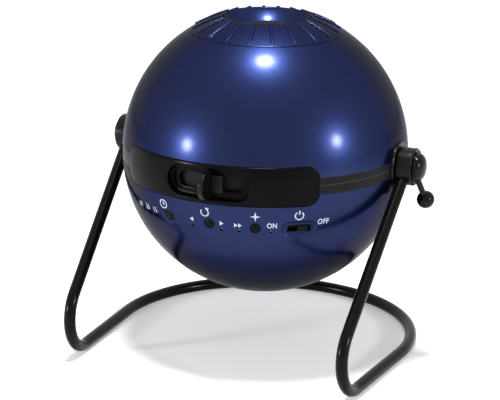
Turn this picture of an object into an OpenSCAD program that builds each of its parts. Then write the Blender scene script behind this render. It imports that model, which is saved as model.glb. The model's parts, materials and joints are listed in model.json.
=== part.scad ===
// Home planetarium projector: a ball-shaped star projector on a bent-rod stand.
// Origin: the floor point under the middle of the tilt axis. +X runs along the tilt
// axis towards the clamp lever, -Y is the front (control side), +Z is up.
// All pieces of the ball are drawn round the ball's centre and lifted to the pivot.

/* [Ball] */
// Outer radius of the ball's shells
ball_r = 68; // [66.5:0.5:69]
// Thickness of the two painted shells
shell_t = 2.2; // [1.8:0.1:2.6]
// Half the height of the dark band round the equator
band_half_h = 3.95; // [3.2:0.05:4.4]
// Depth of the band below the shells' surface
band_sink = 0.3; // [0.1:0.1:0.6]

/* [Stand] */
// Height of the tilt axis above the floor
pivot_z = 94.2; // [91:0.1:98]
// Diameter of the bent rod
rod_d = 5.6; // [5:0.1:5.8]
// Distance from the middle to each leg where it enters its hub
leg_x = 71.5; // [71.4:0.1:72]
// Where the lines of leg and foot meet in front, measured from the middle
corner_reach = 97.6; // [94:0.1:106]
// Angle by which the feet close in towards the front
foot_toe_in = 3; // [2:0.25:4]
// Centreline radius of the rear arc
rear_arc_r = 72; // [71:0.5:74]
// Forward offset of the rear arc's centre, towards the back when positive
rear_arc_y = 0.5; // [0:0.5:2]
// Centreline radius of the front bends
bend_r = 17; // [14:0.5:20]

/* [Front panel and tray] */
// Half the angle that the black front panel covers
panel_half_angle = 44; // [43:0.5:46]
// Half the height of the front panel
panel_half_h = 9.05; // [8.8:0.05:9.3]
// Radius of the panel's corners
panel_corner_r = 6; // [4:0.5:7]
// Gap round the front panel
panel_gap = 0.25; // [0.2:0.05:0.4]
// How far the tray pulls out
tray_travel = 88; // [60:1:88]
// Half the length of the finger recess
recess_half_w = 20.6; // [19:0.1:21.5]
// Half the height of the finger recess, and the radius of its ends
recess_r = 7.2; // [7:0.1:7.4]

/* [Focus] */
// How far the focus knob swings each way, in degrees
focus_swing = 10; // [6:1:10]
// How far the disc rises or sinks at full swing
focus_lift = 1.2; // [0.6:0.1:1.2]

/* [Gears] */
// Teeth on the turntable's rim
turntable_teeth = 48; // [48:12:48]
// Teeth on the drive pinion
pinion_teeth = 12; // [12:1:12]
// Module of the turntable and its pinion
rim_module = 1.25; // [1.2:0.01:1.25]
// Teeth on the reduction gear
reduction_teeth = 40; // [36:4:40]
// Module of the reduction gear and the motor pinion
motor_module = 0.8; // [0.7:0.05:0.8]

/* [Top ring] */
// Number of raised ribs on the ring round the lens
rib_count = 20; // [12:2:24]
// Radius of the opening round the lens
opening_r = 21.2; // [20.6:0.1:21.6]
// Polar angle of the ring's outer edge
ring_edge_angle = 32.5; // [31:0.5:34]

/* [Controls] */
// Radius of a push button's cap
button_r = 2.4; // [2:0.1:2.6]
// Travel of a push button
button_travel = 0.8; // [0.6:0.1:1]
// Travel of the power slider
power_travel = 3.4; // [2.5:0.1:3.4]

/* [Hidden] */
$fn = 96;
eps = 0.01;
corner_start = 0.3;                   // the rounding starts this far past its tangent points

// Colours
blue = [0.13, 0.19, 0.47];
black = [0.05, 0.05, 0.055];
charcoal = [0.16, 0.16, 0.165];
steel = [0.66, 0.67, 0.68];
brass_tone = [0.72, 0.58, 0.3];
glass_tone = [0.75, 0.85, 0.92, 0.4];
nylon = [0.9, 0.89, 0.84];
board_green = [0.1, 0.33, 0.2];

// Fits
run_gap = 0.05;   // radial gap of a shaft in its bore
slide_gap = 0.2;  // gap each side of the tray's runners
wall_gap = 0.3;   // gap between faces that pass each other

// Ball
shell_in_r = ball_r - shell_t;
band_r = ball_r - band_sink;
parting = 0.05;                       // each band half stands this far from the parting plane
ring_seat_z = ball_r * cos(ring_edge_angle);
chassis_r = shell_in_r - wall_gap;    // outside of the chassis' walls
chassis_t = 2;
chassis_wall_h = 13;
deck_t = 2;
deck_r = 63.3;                        // the decks end inside the walls
deck_lo_z = -12;                      // underside of the lower deck
deck_hi_z = 10.8;                     // underside of the upper deck
deck_hi_top = deck_hi_z + deck_t;
deck_lo_top = deck_lo_z + deck_t;

// Hubs, bosses and the tilt axle
axle_r = 2.9;
axle_bore_r = axle_r + run_gap;
boss_flange_r = 11;
boss_flange_in_x = 66.4;
boss_flange_out_x = 68.3;
boss_neck_r = 8.6;
boss_in_x = 59;
hub_r = 8.85;
hub_in_x = boss_flange_out_x + wall_gap;
hub_out_x = 76;
axle_in_x = 57;

// Stand
rod_r = rod_d / 2;
foot_dir = [sin(foot_toe_in), cos(foot_toe_in), 0];
arc_end = [rear_arc_r * cos(foot_toe_in), rear_arc_y - rear_arc_r * sin(foot_toe_in), rod_r];
corner_y = -corner_reach;
corner = [arc_end.x + (corner_y - arc_end.y) * tan(foot_toe_in), corner_y, rod_r];
leg_top = [leg_x, 0, pivot_z];
leg_dir = (corner - leg_top) / norm(corner - leg_top);
bend_angle = acos(-leg_dir * foot_dir);           // between leg and foot
bend_reach = bend_r / tan(bend_angle / 2);        // from the corner to each end of the bend
rod_entry = 4.5;                                  // leg's end, measured from the axis of the hub
bend_thinning = 0.02;
straight_lap = 0.3;                               // straight stretches run this far into a bend
rod_lap = 0.5;                                    // bends run this far into a straight stretch

// Tray, in the ball's own heights
tray_half_w = 39.5;
tray_z = -8.7;
tray_t = 2;
tray_top = tray_z + tray_t;
tray_front_y = -57;
tray_tail_y = 48;
light_hole_r = 26.2;
panel_r = ball_r + 0.3;
panel_t = 2.4;
pocket_wall = 1.5;
pocket_floor_r = 64.6;                            // the recess is this far from the ball's axis
slot_half_w = 15.8;
slot_r = 3.6;
rail_x = 39.8;
rail_out_x = 42.5;
rail_len = tray_travel + 3;

// Focus ring and the disc's carrier
guide_in_r = 31;
guide_out_r = 32.2;
focus_in_r = 32.5;
focus_out_r = 34.6;
focus_z = tray_top + slide_gap;
focus_top = -0.7;
pin_z = (focus_z + focus_top) / 2;
pin_r = 1;
pin_slot_r = 1.15;
pin_angles = [90, 210, 330];
shield_r = 62.2;
shield_angle = asin(slot_half_w / shield_r) + focus_swing + 1;

// Turntable and gears
gear_pa = 25;                                     // pressure angle
backlash = 0.22;
rim_z = 1;
rim_h = 3;
rim_pitch_r = rim_module * turntable_teeth / 2;
pinion_pitch_r = rim_module * pinion_teeth / 2;
pinion_y = rim_pitch_r + pinion_pitch_r;
pinion_z = 0.6;
pinion_h = 6.8;
disc_r = 25.2;
disc_z = 2.6;
disc_t = 0.8;
motor_teeth = 12;
motor_angle = 196;                                // from the pinion's shaft towards the motor
motor_reach = motor_module * (reduction_teeth + motor_teeth) / 2;
motor_at = [motor_reach * cos(motor_angle), pinion_y + motor_reach * sin(motor_angle)];
reduction_z = -18;
reduction_h = 3;
shaft_r = 1.5;
bracket_z = -21;
bracket_t = 1.6;

// Light and lenses
barrel_base_r = 24;
bezel_r = 15;
bezel_z = 56.9;
bezel_t = 2.2;
barrel_top_r = 10.3;
dish_r = 26;                                      // the bowl's inside is part of a sphere
dish_z = 79.24;
ring_r = ball_r - 0.4;
rib_top_r = ball_r + 0.5;
condenser_r = 18;
meteor_y = -12.3;
meteor_axis_y = -20.2;

// Controls: angle from the front, latitude
timer_at = [-19.7, -16.7];
move_at = [0, -16.7];
meteor_at = [19.1, -17.2];
power_at = [36.8, -17.5];
led_lat = -18.3;
led_angles = [-36.8, -32.1, -27.4, -7.2, 5.4, 12.6, 25.6];
board_r = 56.5;
board_t = 1.2;
boards = [[-28.3, 23], [-0.9, 17], [19.1, 17]];    // centre angle, width
board_lat = -17.5;
tact_h = 1.2;
plunger_h = 0.5;
power_slot = [10.8, 3.4];
power_rest = power_travel / 2;
switch_top = 63.4;
switch_peg_y = 5.2;
dish_depth = 0.9;
dish_ball_r = 9.5;

// Plug recess at the back
socket_z = -27;
socket_seat_y = 57.8;
socket_seat_r = 8.5;
plug_r = 5.5;
plug_depth = 4;

// Posts that hold the shells and the chassis together
shell_posts = [[44, 2], [44, 20]];
chassis_posts = [[50, -23], [50, 23]];

// ---------- helpers ----------

// Lifts a piece of the ball to the height of the tilt axis.
module in_ball() { translate([0, 0, pivot_z]) children(); }

// Puts a piece on the ball: local Z points outwards, local X along the surface to the
// right as seen from outside, local Y up the surface.
module on_ball(at, r = 0) {
    rotate([0, 0, at[0]]) rotate([90 - at[1], 0, 0]) translate([0, 0, r]) children();
}

// A piece of a spherical wall between two heights, over a sweep centred on the front.
module zone(r_out, r_in, z_lo, z_hi, half_sweep = 180) {
    rotate([0, 0, -90 - half_sweep]) rotate_extrude(angle = 2 * half_sweep) intersection() {
        difference() {
            circle(r_out);
            circle(r_in);
        }
        translate([0, z_lo]) square([r_out + 1, z_hi - z_lo]);
    }
}

module tube(r_out, r_in, h) {
    difference() {
        cylinder(r = r_out, h = h);
        translate([0, 0, -1]) cylinder(r = r_in, h = h + 2);
    }
}

// A cylinder along X from x0 to x1.
module bar_x(r, x0, x1) { translate([x0, 0, 0]) rotate([0, 90, 0]) cylinder(r = r, h = x1 - x0); }

// A cylinder along -Y, from y_back to y_front.
module bar_y(r, y_back, y_front) {
    translate([0, y_back, 0]) rotate([90, 0, 0]) cylinder(r = r, h = y_back - y_front);
}

module stadium(half_w, r) {
    translate([-(half_w - r), -r]) square([2 * (half_w - r), 2 * r]);
    for (side = [-1, 1]) translate([side * (half_w - r), 0]) circle(r);
}

// The front panel's outline on a spherical wall, grown by a gap on all its edges.
module panel_blank(grow, r_out, r_in) {
    half = panel_half_angle + grow / ball_r * 180 / PI;
    corner_angle = panel_half_angle - panel_corner_r / ball_r * 180 / PI;
    reach = panel_corner_r + grow;
    difference() {
        zone(r_out, r_in, -panel_half_h - grow, panel_half_h + grow, half);
        for (side = [0, 1], up = [0, 1]) mirror([side, 0, 0]) mirror([0, 0, up])
            rotate([0, 0, corner_angle]) rotate([90, 0, 0])
                translate([0, panel_half_h - panel_corner_r, r_in - 8])
                    linear_extrude(r_out - r_in + 12) difference() {
                        translate([corner_start, corner_start]) square([reach + 3, reach + 1]);
                        rotate(225) circle(reach);
                    }
    }
}

// Half the angle of an involute tooth at radius r.
function inv(a) = tan(a) * 180 / PI - a;
function tooth_half(teeth, pitch_r, r) =
    let (base_r = pitch_r * cos(gear_pa), at = max(r, base_r))
    90 / teeth - backlash / 2 / pitch_r * 180 / PI + inv(gear_pa) - inv(acos(base_r / at));

// A spur gear's outline, with one tooth centred on the X axis.
module gear_outline(teeth, mod) {
    pitch_r = mod * teeth / 2;
    base_r = pitch_r * cos(gear_pa);
    root_r = pitch_r - 1.25 * mod;
    tip_r = pitch_r + 0.9 * mod;
    flank_lo = max(base_r, root_r);
    radii = [root_r, flank_lo + 0.05, (flank_lo + tip_r) / 2, tip_r];
    polygon([
        for (t = [0 : teeth - 1]) let (mid = t * 360 / teeth)
            for (p = concat(
                [for (r = radii) [r, mid - tooth_half(teeth, pitch_r, r)]],
                [for (i = [3 : -1 : 0]) [radii[i], mid + tooth_half(teeth, pitch_r, radii[i])]]))
                [p[0] * cos(p[1]), p[0] * sin(p[1])]
    ]);
}

// Height of a spherical cap of base radius r and the given rise, at radius x.
function cap_height(r, rise, x) =
    let (ball = (r * r + rise * rise) / 2 / rise) sqrt(ball * ball - x * x) - ball + rise;

// A round lens: a flat-edged disc between two spherical faces with the given rises.
module lens(r, z_lo, z_hi, rise_lo, rise_hi, steps = 10) {
    rotate_extrude() polygon(concat(
        [for (i = [0 : steps]) let (x = r * i / steps) [x, z_lo - cap_height(r, rise_lo, x)]],
        [for (i = [steps : -1 : 0]) let (x = r * i / steps) [x, z_hi + cap_height(r, rise_hi, x)]]));
}

// A shallow cap on a round base, standing on the plane x = x0 and bulging towards +X.
module cap_x(r, rise, x0, steps = 12) {
    translate([x0, 0, 0]) rotate([0, 90, 0]) rotate_extrude() polygon(concat(
        [[0, 0]], [for (i = [steps : -1 : 0]) let (x = r * i / steps) [x, cap_height(r, rise, x)]]));
}

// A pan-head screw along +Z, its head's underside at the origin.
module screw(r, head_r, length, head_h = 1.6) {
    difference() {
        union() {
            translate([0, 0, -head_h]) cylinder(r = head_r, h = head_h);
            cylinder(r = r, h = length);
        }
        for (turn = [0, 90]) rotate([0, 0, turn])
            translate([-head_r * 0.6, -0.3, -head_h - 1]) cube([head_r * 1.2, 0.6, 1.7]);
    }
}

module mirrored_x() {
    children();
    mirror([1, 0, 0]) children();
}

// ---------- stand ----------

// Local frame with Z along d, and X in the plane of d and s, on the side of s.
function cross_unit(a, b) = cross(a, b) / norm(cross(a, b));
module along(p, d, s) {
    n = cross_unit(d, s);
    x = cross(n, d);
    multmatrix([
        [x.x, n.x, d.x, p.x],
        [x.y, n.y, d.y, p.y],
        [x.z, n.z, d.z, p.z],
        [0, 0, 0, 1]]) children();
}

// A bent stretch of the rod, from the X axis round Z. Bending draws the rod a hair
// thinner, and each end reaches a little way into the straight stretch that it meets.
module rod_bend(centre_r, angle) {
    into = rod_lap / centre_r * 180 / PI;
    rotate([0, 0, -into]) rotate_extrude(angle = angle + 2 * into)
        translate([centre_r, 0]) circle(rod_r - bend_thinning);
}

// One side of the rod: the leg, the bend at its foot and the foot back to the rear arc.
module rod_side() {
    leg_len = norm(corner - leg_top) - bend_reach;
    foot_start = corner + foot_dir * bend_reach;
    // leg
    along(leg_top, leg_dir, foot_dir) translate([0, 0, rod_entry])
        cylinder(r = rod_r, h = leg_len - rod_entry + straight_lap);
    // bend: it turns about an axis bend_r to the side of the leg's end
    along(leg_top + leg_dir * leg_len, leg_dir, foot_dir)
        translate([bend_r, 0, 0]) rotate([90, 0, 0]) rotate([0, 0, 180])
            mirror([0, 1, 0]) rod_bend(bend_r, 180 - bend_angle);
    // foot
    along(foot_start - foot_dir * straight_lap, foot_dir, [0, 0, 1])
        cylinder(r = rod_r, h = norm(arc_end - foot_start) + 2 * straight_lap);
}

module stand_frame() {
    color(black) {
        mirrored_x() rod_side();
        translate([0, rear_arc_y, rod_r]) rotate([0, 0, -foot_toe_in])
            rod_bend(rear_arc_r, 180 + 2 * foot_toe_in);
    }
}

// A hub: a short drum round the tilt axis, with a socket for the leg's end.
module hub_body() {
    difference() {
        in_ball() union() {
            bar_x(hub_r, hub_in_x, hub_out_x - 0.8);
            translate([hub_out_x - 0.8, 0, 0]) rotate([0, 90, 0]) cylinder(r1 = hub_r, r2 = hub_r - 0.8, h = 0.8);
        }
        in_ball() bar_x(axle_bore_r, hub_in_x - 1, hub_out_x + 1);
        along(leg_top, leg_dir, foot_dir) translate([0, 0, rod_entry]) cylinder(r = rod_r, h = 20);
    }
}

module left_hub() { color(black) mirror([1, 0, 0]) hub_body(); }
module right_hub() { color(black) hub_body(); }

// The left axle: a headed pin that runs in the boss, with a low domed cap.
module left_axle() {
    color(charcoal) in_ball() mirror([1, 0, 0]) {
        bar_x(axle_r, axle_in_x, hub_out_x);
        cap_x(7, 2.2, hub_out_x);
    }
}

// ---------- clamp ----------

clamp_cap_r = 7.3;
clamp_rim_x = hub_out_x + wall_gap / 2;
clamp_rim_h = 0.8;
clamp_dome_rise = 3.6;
clamp_tip = [79.4, 5, -16.46];                    // centre of the lever's ball, from the axis
clamp_root = [77.5, -2.2, -5];

module clamp_screw() {
    color(steel) in_ball() bar_x(axle_r, axle_in_x, clamp_rim_x + 1);
}

module clamp_knob() {
    color(black) in_ball() difference() {
        union() {
            bar_x(clamp_cap_r, clamp_rim_x, clamp_rim_x + clamp_rim_h);
            cap_x(clamp_cap_r, clamp_dome_rise, clamp_rim_x + clamp_rim_h);
        }
        bar_x(axle_r, clamp_rim_x - 1, clamp_rim_x + 1);
        translate(clamp_root) clamp_arm_bar();
    }
}

module clamp_arm_bar() {
    span = clamp_tip - clamp_root;
    along([0, 0, 0], span / norm(span), [1, 0, 0]) cylinder(r = 1.4, h = norm(span));
}

module clamp_lever() {
    color(black) in_ball() {
        translate(clamp_root) clamp_arm_bar();
        translate(clamp_tip) sphere(4.2);
    }
}

// ---------- ball: shells ----------

module upper_shell() {
    color(blue) in_ball() {
        difference() {
            zone(ball_r, shell_in_r, band_half_h + parting, ring_seat_z);
            panel_blank(panel_gap, ball_r + 5, shell_in_r - 8);
            boss_recess();
        }
        mirrored_x() for (p = shell_posts) shell_post_up(p);
    }
}

module boss_recess() {
    for (side = [0, 180]) rotate([0, 0, side]) {
        bar_x(boss_flange_r + 0.2, boss_flange_in_x, ball_r + 5);
        bar_x(boss_neck_r + 0.2, boss_in_x, ball_r + 5);
    }
}

// A screw post from the upper deck to the inside of the upper shell.
module shell_post_up(p) {
    difference() {
        intersection() {
            translate([p.x, p.y, deck_hi_top]) cylinder(r = 3.6, h = 60);
            sphere(shell_in_r + shell_t / 2);
        }
        translate([p.x, p.y, deck_hi_top - 1]) cylinder(r = 1.3, h = 13);
    }
}

well_r = 3.6;
well_wall = 1.4;
well_top_z = -26;
screw_seat_z = -28;

module lower_shell() {
    color(blue) in_ball() difference() {
        union() {
            zone(ball_r, shell_in_r, -ball_r, -band_half_h - parting);
            mirrored_x() for (p = shell_posts) intersection() {
                translate([p.x, p.y, -ball_r]) cylinder(r = well_r + well_wall, h = ball_r + well_top_z);
                sphere(ball_r);
            }
            // tube behind the plug recess
            intersection() {
                translate([0, 0, socket_z]) bar_y(socket_seat_r + 1.5, ball_r, socket_seat_y - plug_depth);
                sphere(ball_r);
            }
            for (b = boards) board_pegs(b);
            // pegs of the power switch
            on_ball(power_at, switch_top) for (side = [-1, 1])
                translate([0, side * switch_peg_y, 0]) cylinder(r = 1.1, h = shell_in_r - switch_top + 0.2);
        }
        panel_blank(panel_gap, ball_r + 5, shell_in_r - 8);
        boss_recess();
        mirrored_x() for (p = shell_posts) translate([p.x, p.y, 0]) {
            translate([0, 0, -ball_r - 1]) cylinder(r = well_r, h = ball_r + 1 + screw_seat_z);
            translate([0, 0, -ball_r - 1]) cylinder(r = 1.6, h = ball_r + 5 + well_top_z);
        }
        translate([0, 0, socket_z]) {
            bar_y(socket_seat_r, ball_r + 5, socket_seat_y);
            bar_y(plug_r, ball_r + 5, socket_seat_y - plug_depth - 1);
        }
        // room for the reduction gear over the tube's end
        translate([0, pinion_y, reduction_z - wall_gap])
            cylinder(r = motor_module * (reduction_teeth + 2) / 2 + wall_gap, h = 8);
        for (at = [timer_at, move_at, meteor_at]) {
            on_ball(at, ball_r + dish_ball_r - dish_depth) sphere(dish_ball_r);
            on_ball(at, 50) cylinder(r = button_r + 0.15, h = 25);
        }
        for (a = led_angles) on_ball([a, led_lat], 50) cylinder(r = 0.85, h = 25);
        on_ball(power_at, ball_r - 1) linear_extrude(6) stadium(8, 3.8);
        on_ball(power_at, 50) translate([-power_slot.x / 2, -power_slot.y / 2]) cube([power_slot.x, power_slot.y, 25]);
    }
}

// Two pegs that carry a control board on the inside of the lower shell.
module board_pegs(b) {
    on_ball([b[0], board_lat], board_r + board_t) for (side = [-1, 1])
        translate([side * (b[1] / 2 - 1.6), -4, 0]) cylinder(r = 1, h = shell_in_r - board_r);
}

// ---------- ball: top ring ----------

module ring_profile() {
    difference() {
        union() {
            // outer skin with the ribs on it
            intersection() {
                difference() {
                    circle(ring_r);
                    circle(ring_r - 2.6);
                }
                translate([opening_r - 3, ring_seat_z + parting]) square([30, 20]);
            }
            // skirt that reaches under the shell's edge
            intersection() {
                difference() {
                    circle(shell_in_r - 0.2);
                    circle(shell_in_r - 1.8);
                }
                translate([26, ring_seat_z - 4]) square([12, 8]);
            }
            // wall of the bowl
            intersection() {
                translate([0, dish_z]) circle(dish_r + 2);
                circle(ring_r);
                translate([0, 50]) square([opening_r + 3, 30]);
            }
        }
        translate([0, dish_z]) circle(dish_r);
        square([bezel_r + 0.15, 100]);
    }
}

module lens_ring() {
    color(blue) in_ball() {
        rotate_extrude() ring_profile();
        intersection() {
            rotate_extrude() intersection() {
                difference() {
                    circle(rib_top_r);
                    circle(ring_r - 0.5);
                }
                translate([opening_r + 0.3, 50]) square([ball_r * sin(ring_edge_angle - 1.3) - opening_r - 0.3, 30]);
            }
            union() for (i = [0 : rib_count / 2 - 1])
                rotate([0, 0, 90 + (i + 0.5) * 360 / rib_count]) translate([-50, -0.75, 40]) cube([100, 1.5, 40]);
        }
    }
}

// ---------- ball: chassis ----------

// The opening that the tray passes through.
module tray_tunnel(z_lo, z_hi) {
    translate([-43.5, -80, z_lo]) cube([87, 60, z_hi - z_lo]);
}

module upper_chassis() {
    color(charcoal) in_ball() difference() {
        union() {
            zone(chassis_r, chassis_r - chassis_t, parting, chassis_wall_h);
            zone(band_r, chassis_r - 0.5, parting, band_half_h);
            translate([0, 0, deck_hi_z]) cylinder(r = deck_r, h = deck_t);
            mirrored_x() for (p = chassis_posts)
                translate([p.x, p.y, parting]) cylinder(r = 3.4, h = deck_hi_z - parting + eps);
        }
        translate([0, 0, deck_hi_z - 1]) cylinder(r = 16.6, h = 5);
        panel_blank(panel_gap, ball_r + 5, chassis_r - 0.2);
        tray_tunnel(-1, 9.6);
        for (side = [0, 180]) rotate([0, 0, side]) bar_x(boss_neck_r + 0.1, 50, 80);
        for (side = [0, 180]) rotate([0, 0, side]) bar_x(boss_flange_r + 0.2, boss_flange_in_x, 80);
        mirrored_x() for (p = shell_posts) translate([p.x, p.y, 0]) cylinder(r = 1.4, h = 20);
        mirrored_x() for (p = chassis_posts) translate([p.x, p.y, -1]) cylinder(r = 1.15, h = 9);
        for (a = [45 : 90 : 315]) rotate([0, 0, a]) translate([21, 0, deck_hi_z - 1]) cylinder(r = 1, h = 5);
    }
}

module lower_chassis() {
    color(charcoal) in_ball() difference() {
        union() {
            zone(chassis_r, chassis_r - chassis_t, -chassis_wall_h, -parting);
            zone(band_r, chassis_r - 0.5, -band_half_h, -parting);
            translate([0, 0, deck_lo_z]) cylinder(r = deck_r, h = deck_t);
            mirrored_x() {
                for (p = chassis_posts) translate([p.x, p.y, deck_lo_top - eps])
                    cylinder(r = 3.4, h = -parting - deck_lo_top + eps);
                for (p = shell_posts) translate([p.x, p.y, well_top_z])
                    cylinder(r = 3.4, h = deck_lo_z - well_top_z + eps);
            }
        }
        translate([0, 0, deck_lo_z - 1]) cylinder(r = 20.2, h = 5);
        translate([0, pinion_y, deck_lo_z - 1]) cylinder(r = 3, h = 5);
        panel_blank(panel_gap, ball_r + 5, chassis_r - 0.2);
        tray_tunnel(-9.6, 1);
        for (side = [0, 180]) rotate([0, 0, side]) bar_x(boss_neck_r + 0.1, 50, 80);
        for (side = [0, 180]) rotate([0, 0, side]) bar_x(boss_flange_r + 0.2, boss_flange_in_x, 80);
        mirrored_x() {
            for (p = chassis_posts) translate([p.x, p.y, deck_lo_z - 1]) cylinder(r = 1.4, h = 20);
            for (p = shell_posts) translate([p.x, p.y, well_top_z - 1]) cylinder(r = 1.15, h = 11);
        }
    }
}

// A boss closes the side of the ball and turns on the axle.
module boss_body() {
    in_ball() difference() {
        union() {
            bar_x(boss_flange_r, boss_flange_in_x, boss_flange_out_x);
            bar_x(boss_neck_r, boss_in_x, boss_flange_in_x + eps);
            bar_x(boss_neck_r + 1.2, boss_in_x, boss_in_x + 2);
        }
        bar_x(axle_bore_r, boss_in_x - 1, boss_flange_out_x + 1);
    }
}

module left_boss() { color(black) mirror([1, 0, 0]) boss_body(); }
module right_boss() { color(black) boss_body(); }

// Two channels on the lower deck that hold the tray's edges.
module tray_rails() {
    color(charcoal) in_ball() mirrored_x() translate([0, rail_len / 2, 0]) rotate([90, 0, 0])
        linear_extrude(rail_len) polygon([
            [rail_x - 2.6, deck_lo_top], [rail_out_x, deck_lo_top], [rail_out_x, tray_top + 1.5],
            [rail_x - 1.9, tray_top + 1.5], [rail_x - 1.9, tray_top + slide_gap], [rail_x, tray_top + slide_gap],
            [rail_x, tray_z - slide_gap], [rail_x - 2.6, tray_z - slide_gap]]);
}

// A leaf on the deck; its nose rubs on the tail of the tray and holds it by friction.
module tray_latch() {
    color(steel) in_ball() translate([31, 36, deck_lo_top]) {
        difference() {
            cube([6, 9, 0.5]);
            translate([3, 6.5, -1]) cylinder(r = 1.1, h = 3);
        }
        translate([4.5, 1, 0.3]) cube([1.5, 1, 0.9]);
    }
}

// ---------- ball: lenses ----------

module lens_barrel() {
    color(black) in_ball() difference() {
        rotate_extrude() polygon([
            [14, 9.5], [16.4, 9.5], [16.4, deck_hi_top], [barrel_base_r, deck_hi_top],
            [barrel_base_r, deck_hi_top + 2.2], [16.4, deck_hi_top + 2.2], [16.4, 28], [barrel_top_r, 36],
            [barrel_top_r, bezel_z - 0.1], [8.5, bezel_z - 0.1], [8.5, 36], [13, 27], [13, 22], [14, 22]]);
        for (a = [45 : 90 : 315]) rotate([0, 0, a]) translate([21, 0, 10]) cylinder(r = 1.3, h = 8);
    }
}

module lens_bezel() {
    color(black) in_ball() difference() {
        translate([0, 0, bezel_z]) cylinder(r = bezel_r, h = bezel_t);
        translate([0, 0, bezel_z - 1]) cylinder(r = 8.6, h = 2.2);
        translate([0, 0, bezel_z + 0.6]) cylinder(r1 = 8.6, r2 = 9.8, h = bezel_t);
        translate([0, meteor_y, bezel_z - 1]) cylinder(r = 1.4, h = 5);
    }
}

module rear_lens() { color(glass_tone) in_ball() lens(13.9, 14, 17, 2.2, 3.2); }
module middle_lens() { color(glass_tone) in_ball() lens(12.9, 23, 24.2, 0.8, 1.8); }
module front_lens() { color(glass_tone) in_ball() lens(8.4, 51, 54.6, 1, 1.7); }

// ---------- ball: lamp ----------

module condenser_housing() {
    color(black) in_ball() difference() {
        union() {
            translate([0, 0, -33]) cylinder(r = condenser_r, h = 23.6);
            translate([0, 0, deck_lo_z - 2]) cylinder(r = 23.5, h = 2);
        }
        translate([0, 0, -31.4]) cylinder(r = 12, h = 3);
        translate([0, 0, -34]) cylinder(r = 9, h = 5);
        translate([0, 0, -28.5]) cylinder(r1 = 12, r2 = 15.1, h = 4.6);
        translate([0, 0, -24]) cylinder(r = 15.1, h = 8.6);
        translate([0, 0, -15.5]) cylinder(r = 16.2, h = 8);
    }
}

module condenser_lens_lower() { color(glass_tone) in_ball() lens(15, -24, -22, 0.4, 4.2); }
module condenser_lens_upper() { color(glass_tone) in_ball() lens(16.1, -15.4, -14.2, 0.6, 4.2); }

module led_board() {
    color("white") in_ball() translate([0, 0, -34.6]) cylinder(r = 16, h = 1.6);
}

module led_emitter() {
    color([1, 0.95, 0.7]) in_ball() {
        translate([-3.5, -3.5, -33]) cube([7, 7, 1]);
        intersection() {
            translate([0, 0, -32.4]) sphere(2.6);
            translate([-5, -5, -32.1]) cube([10, 10, 5]);
        }
    }
}

module heat_sink() {
    fins = 9;
    color(steel) in_ball() {
        translate([0, 0, -37.6]) cylinder(r = 17, h = 3);
        intersection() {
            translate([0, 0, -47]) cylinder(r = 17, h = 9.4 + eps);
            union() for (i = [0 : fins - 1])
                translate([-18, (i - (fins - 1) / 2) * 3.8 - 0.6, -47]) cube([36, 1.2, 9.5]);
        }
    }
}

// ---------- ball: drive ----------

module motor() {
    color(steel) in_ball() translate([motor_at.x, motor_at.y, 0]) difference() {
        union() {
            translate([0, 0, -36]) cylinder(r = 9, h = 36 + bracket_z);
            translate([-11.5, -2.5, bracket_z - 0.8]) cube([23, 5, 0.8]);
        }
        translate([0, 0, bracket_z - 6]) cylinder(r = 1 + run_gap, h = 10);
    }
}

bracket_posts = [[19.5, 48], [-17.5, 49.5], [-34.5, 34]];

module gearbox_bracket() {
    color(charcoal) in_ball() difference() {
        union() {
            translate([0, 0, bracket_z]) linear_extrude(bracket_t) hull() {
                for (p = bracket_posts) translate(p) circle(3, $fn = 32);
                translate(motor_at) circle(11, $fn = 32);
            }
            for (p = bracket_posts) translate([p.x, p.y, bracket_z + bracket_t - eps])
                cylinder(r = 2.6, h = deck_lo_z - bracket_z - bracket_t + eps);
        }
        translate([motor_at.x, motor_at.y, bracket_z - 1]) cylinder(r = 2.4, h = 5);
        translate([0, pinion_y, bracket_z - 1]) cylinder(r = 2.6, h = 5);
    }
}

// Two flanged bushes: one in the lower deck, one in the bracket.
module shaft_bushes() {
    color(brass_tone) in_ball() translate([0, pinion_y, 0]) {
        difference() {
            union() {
                translate([0, 0, deck_lo_z]) cylinder(r = 3, h = deck_t);
                translate([0, 0, deck_lo_top]) cylinder(r = 4, h = 0.8);
            }
            translate([0, 0, deck_lo_z - 1]) cylinder(r = shaft_r + run_gap, h = 5);
        }
        difference() {
            union() {
                translate([0, 0, bracket_z]) cylinder(r = 2.6, h = bracket_t);
                translate([0, 0, bracket_z + bracket_t]) cylinder(r = 3.4, h = 0.6);
            }
            translate([0, 0, bracket_z - 1]) cylinder(r = shaft_r + run_gap, h = 5);
        }
    }
}

module drive_pinion() {
    color(nylon) in_ball() translate([0, pinion_y, pinion_z]) difference() {
        rotate([0, 0, 90 + 180 / pinion_teeth]) linear_extrude(pinion_h) gear_outline(pinion_teeth, rim_module);
        translate([0, 0, -1]) cylinder(r = shaft_r, h = pinion_h + 2);
    }
}

module reduction_gear() {
    shaft_lo = bracket_z - 0.5;
    color(nylon) in_ball() translate([0, pinion_y, 0]) {
        translate([0, 0, reduction_z]) rotate([0, 0, motor_angle])
            linear_extrude(reduction_h) gear_outline(reduction_teeth, motor_module);
        translate([0, 0, shaft_lo]) cylinder(r = shaft_r, h = pinion_z + pinion_h - shaft_lo);
        translate([0, 0, reduction_z + reduction_h - eps]) cylinder(r = 3, h = 2);
    }
}

module motor_pinion() {
    color(brass_tone) in_ball() translate([motor_at.x, motor_at.y, 0]) {
        translate([0, 0, reduction_z - 0.3]) rotate([0, 0, motor_angle - 180 + 180 / motor_teeth])
            linear_extrude(reduction_h + 0.6) gear_outline(motor_teeth, motor_module);
        translate([0, 0, bracket_z - 5]) cylinder(r = 1, h = reduction_z - bracket_z + 5);
    }
}

// ---------- ball: shooting-star unit ----------

meteor_slot_z = 42;

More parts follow.
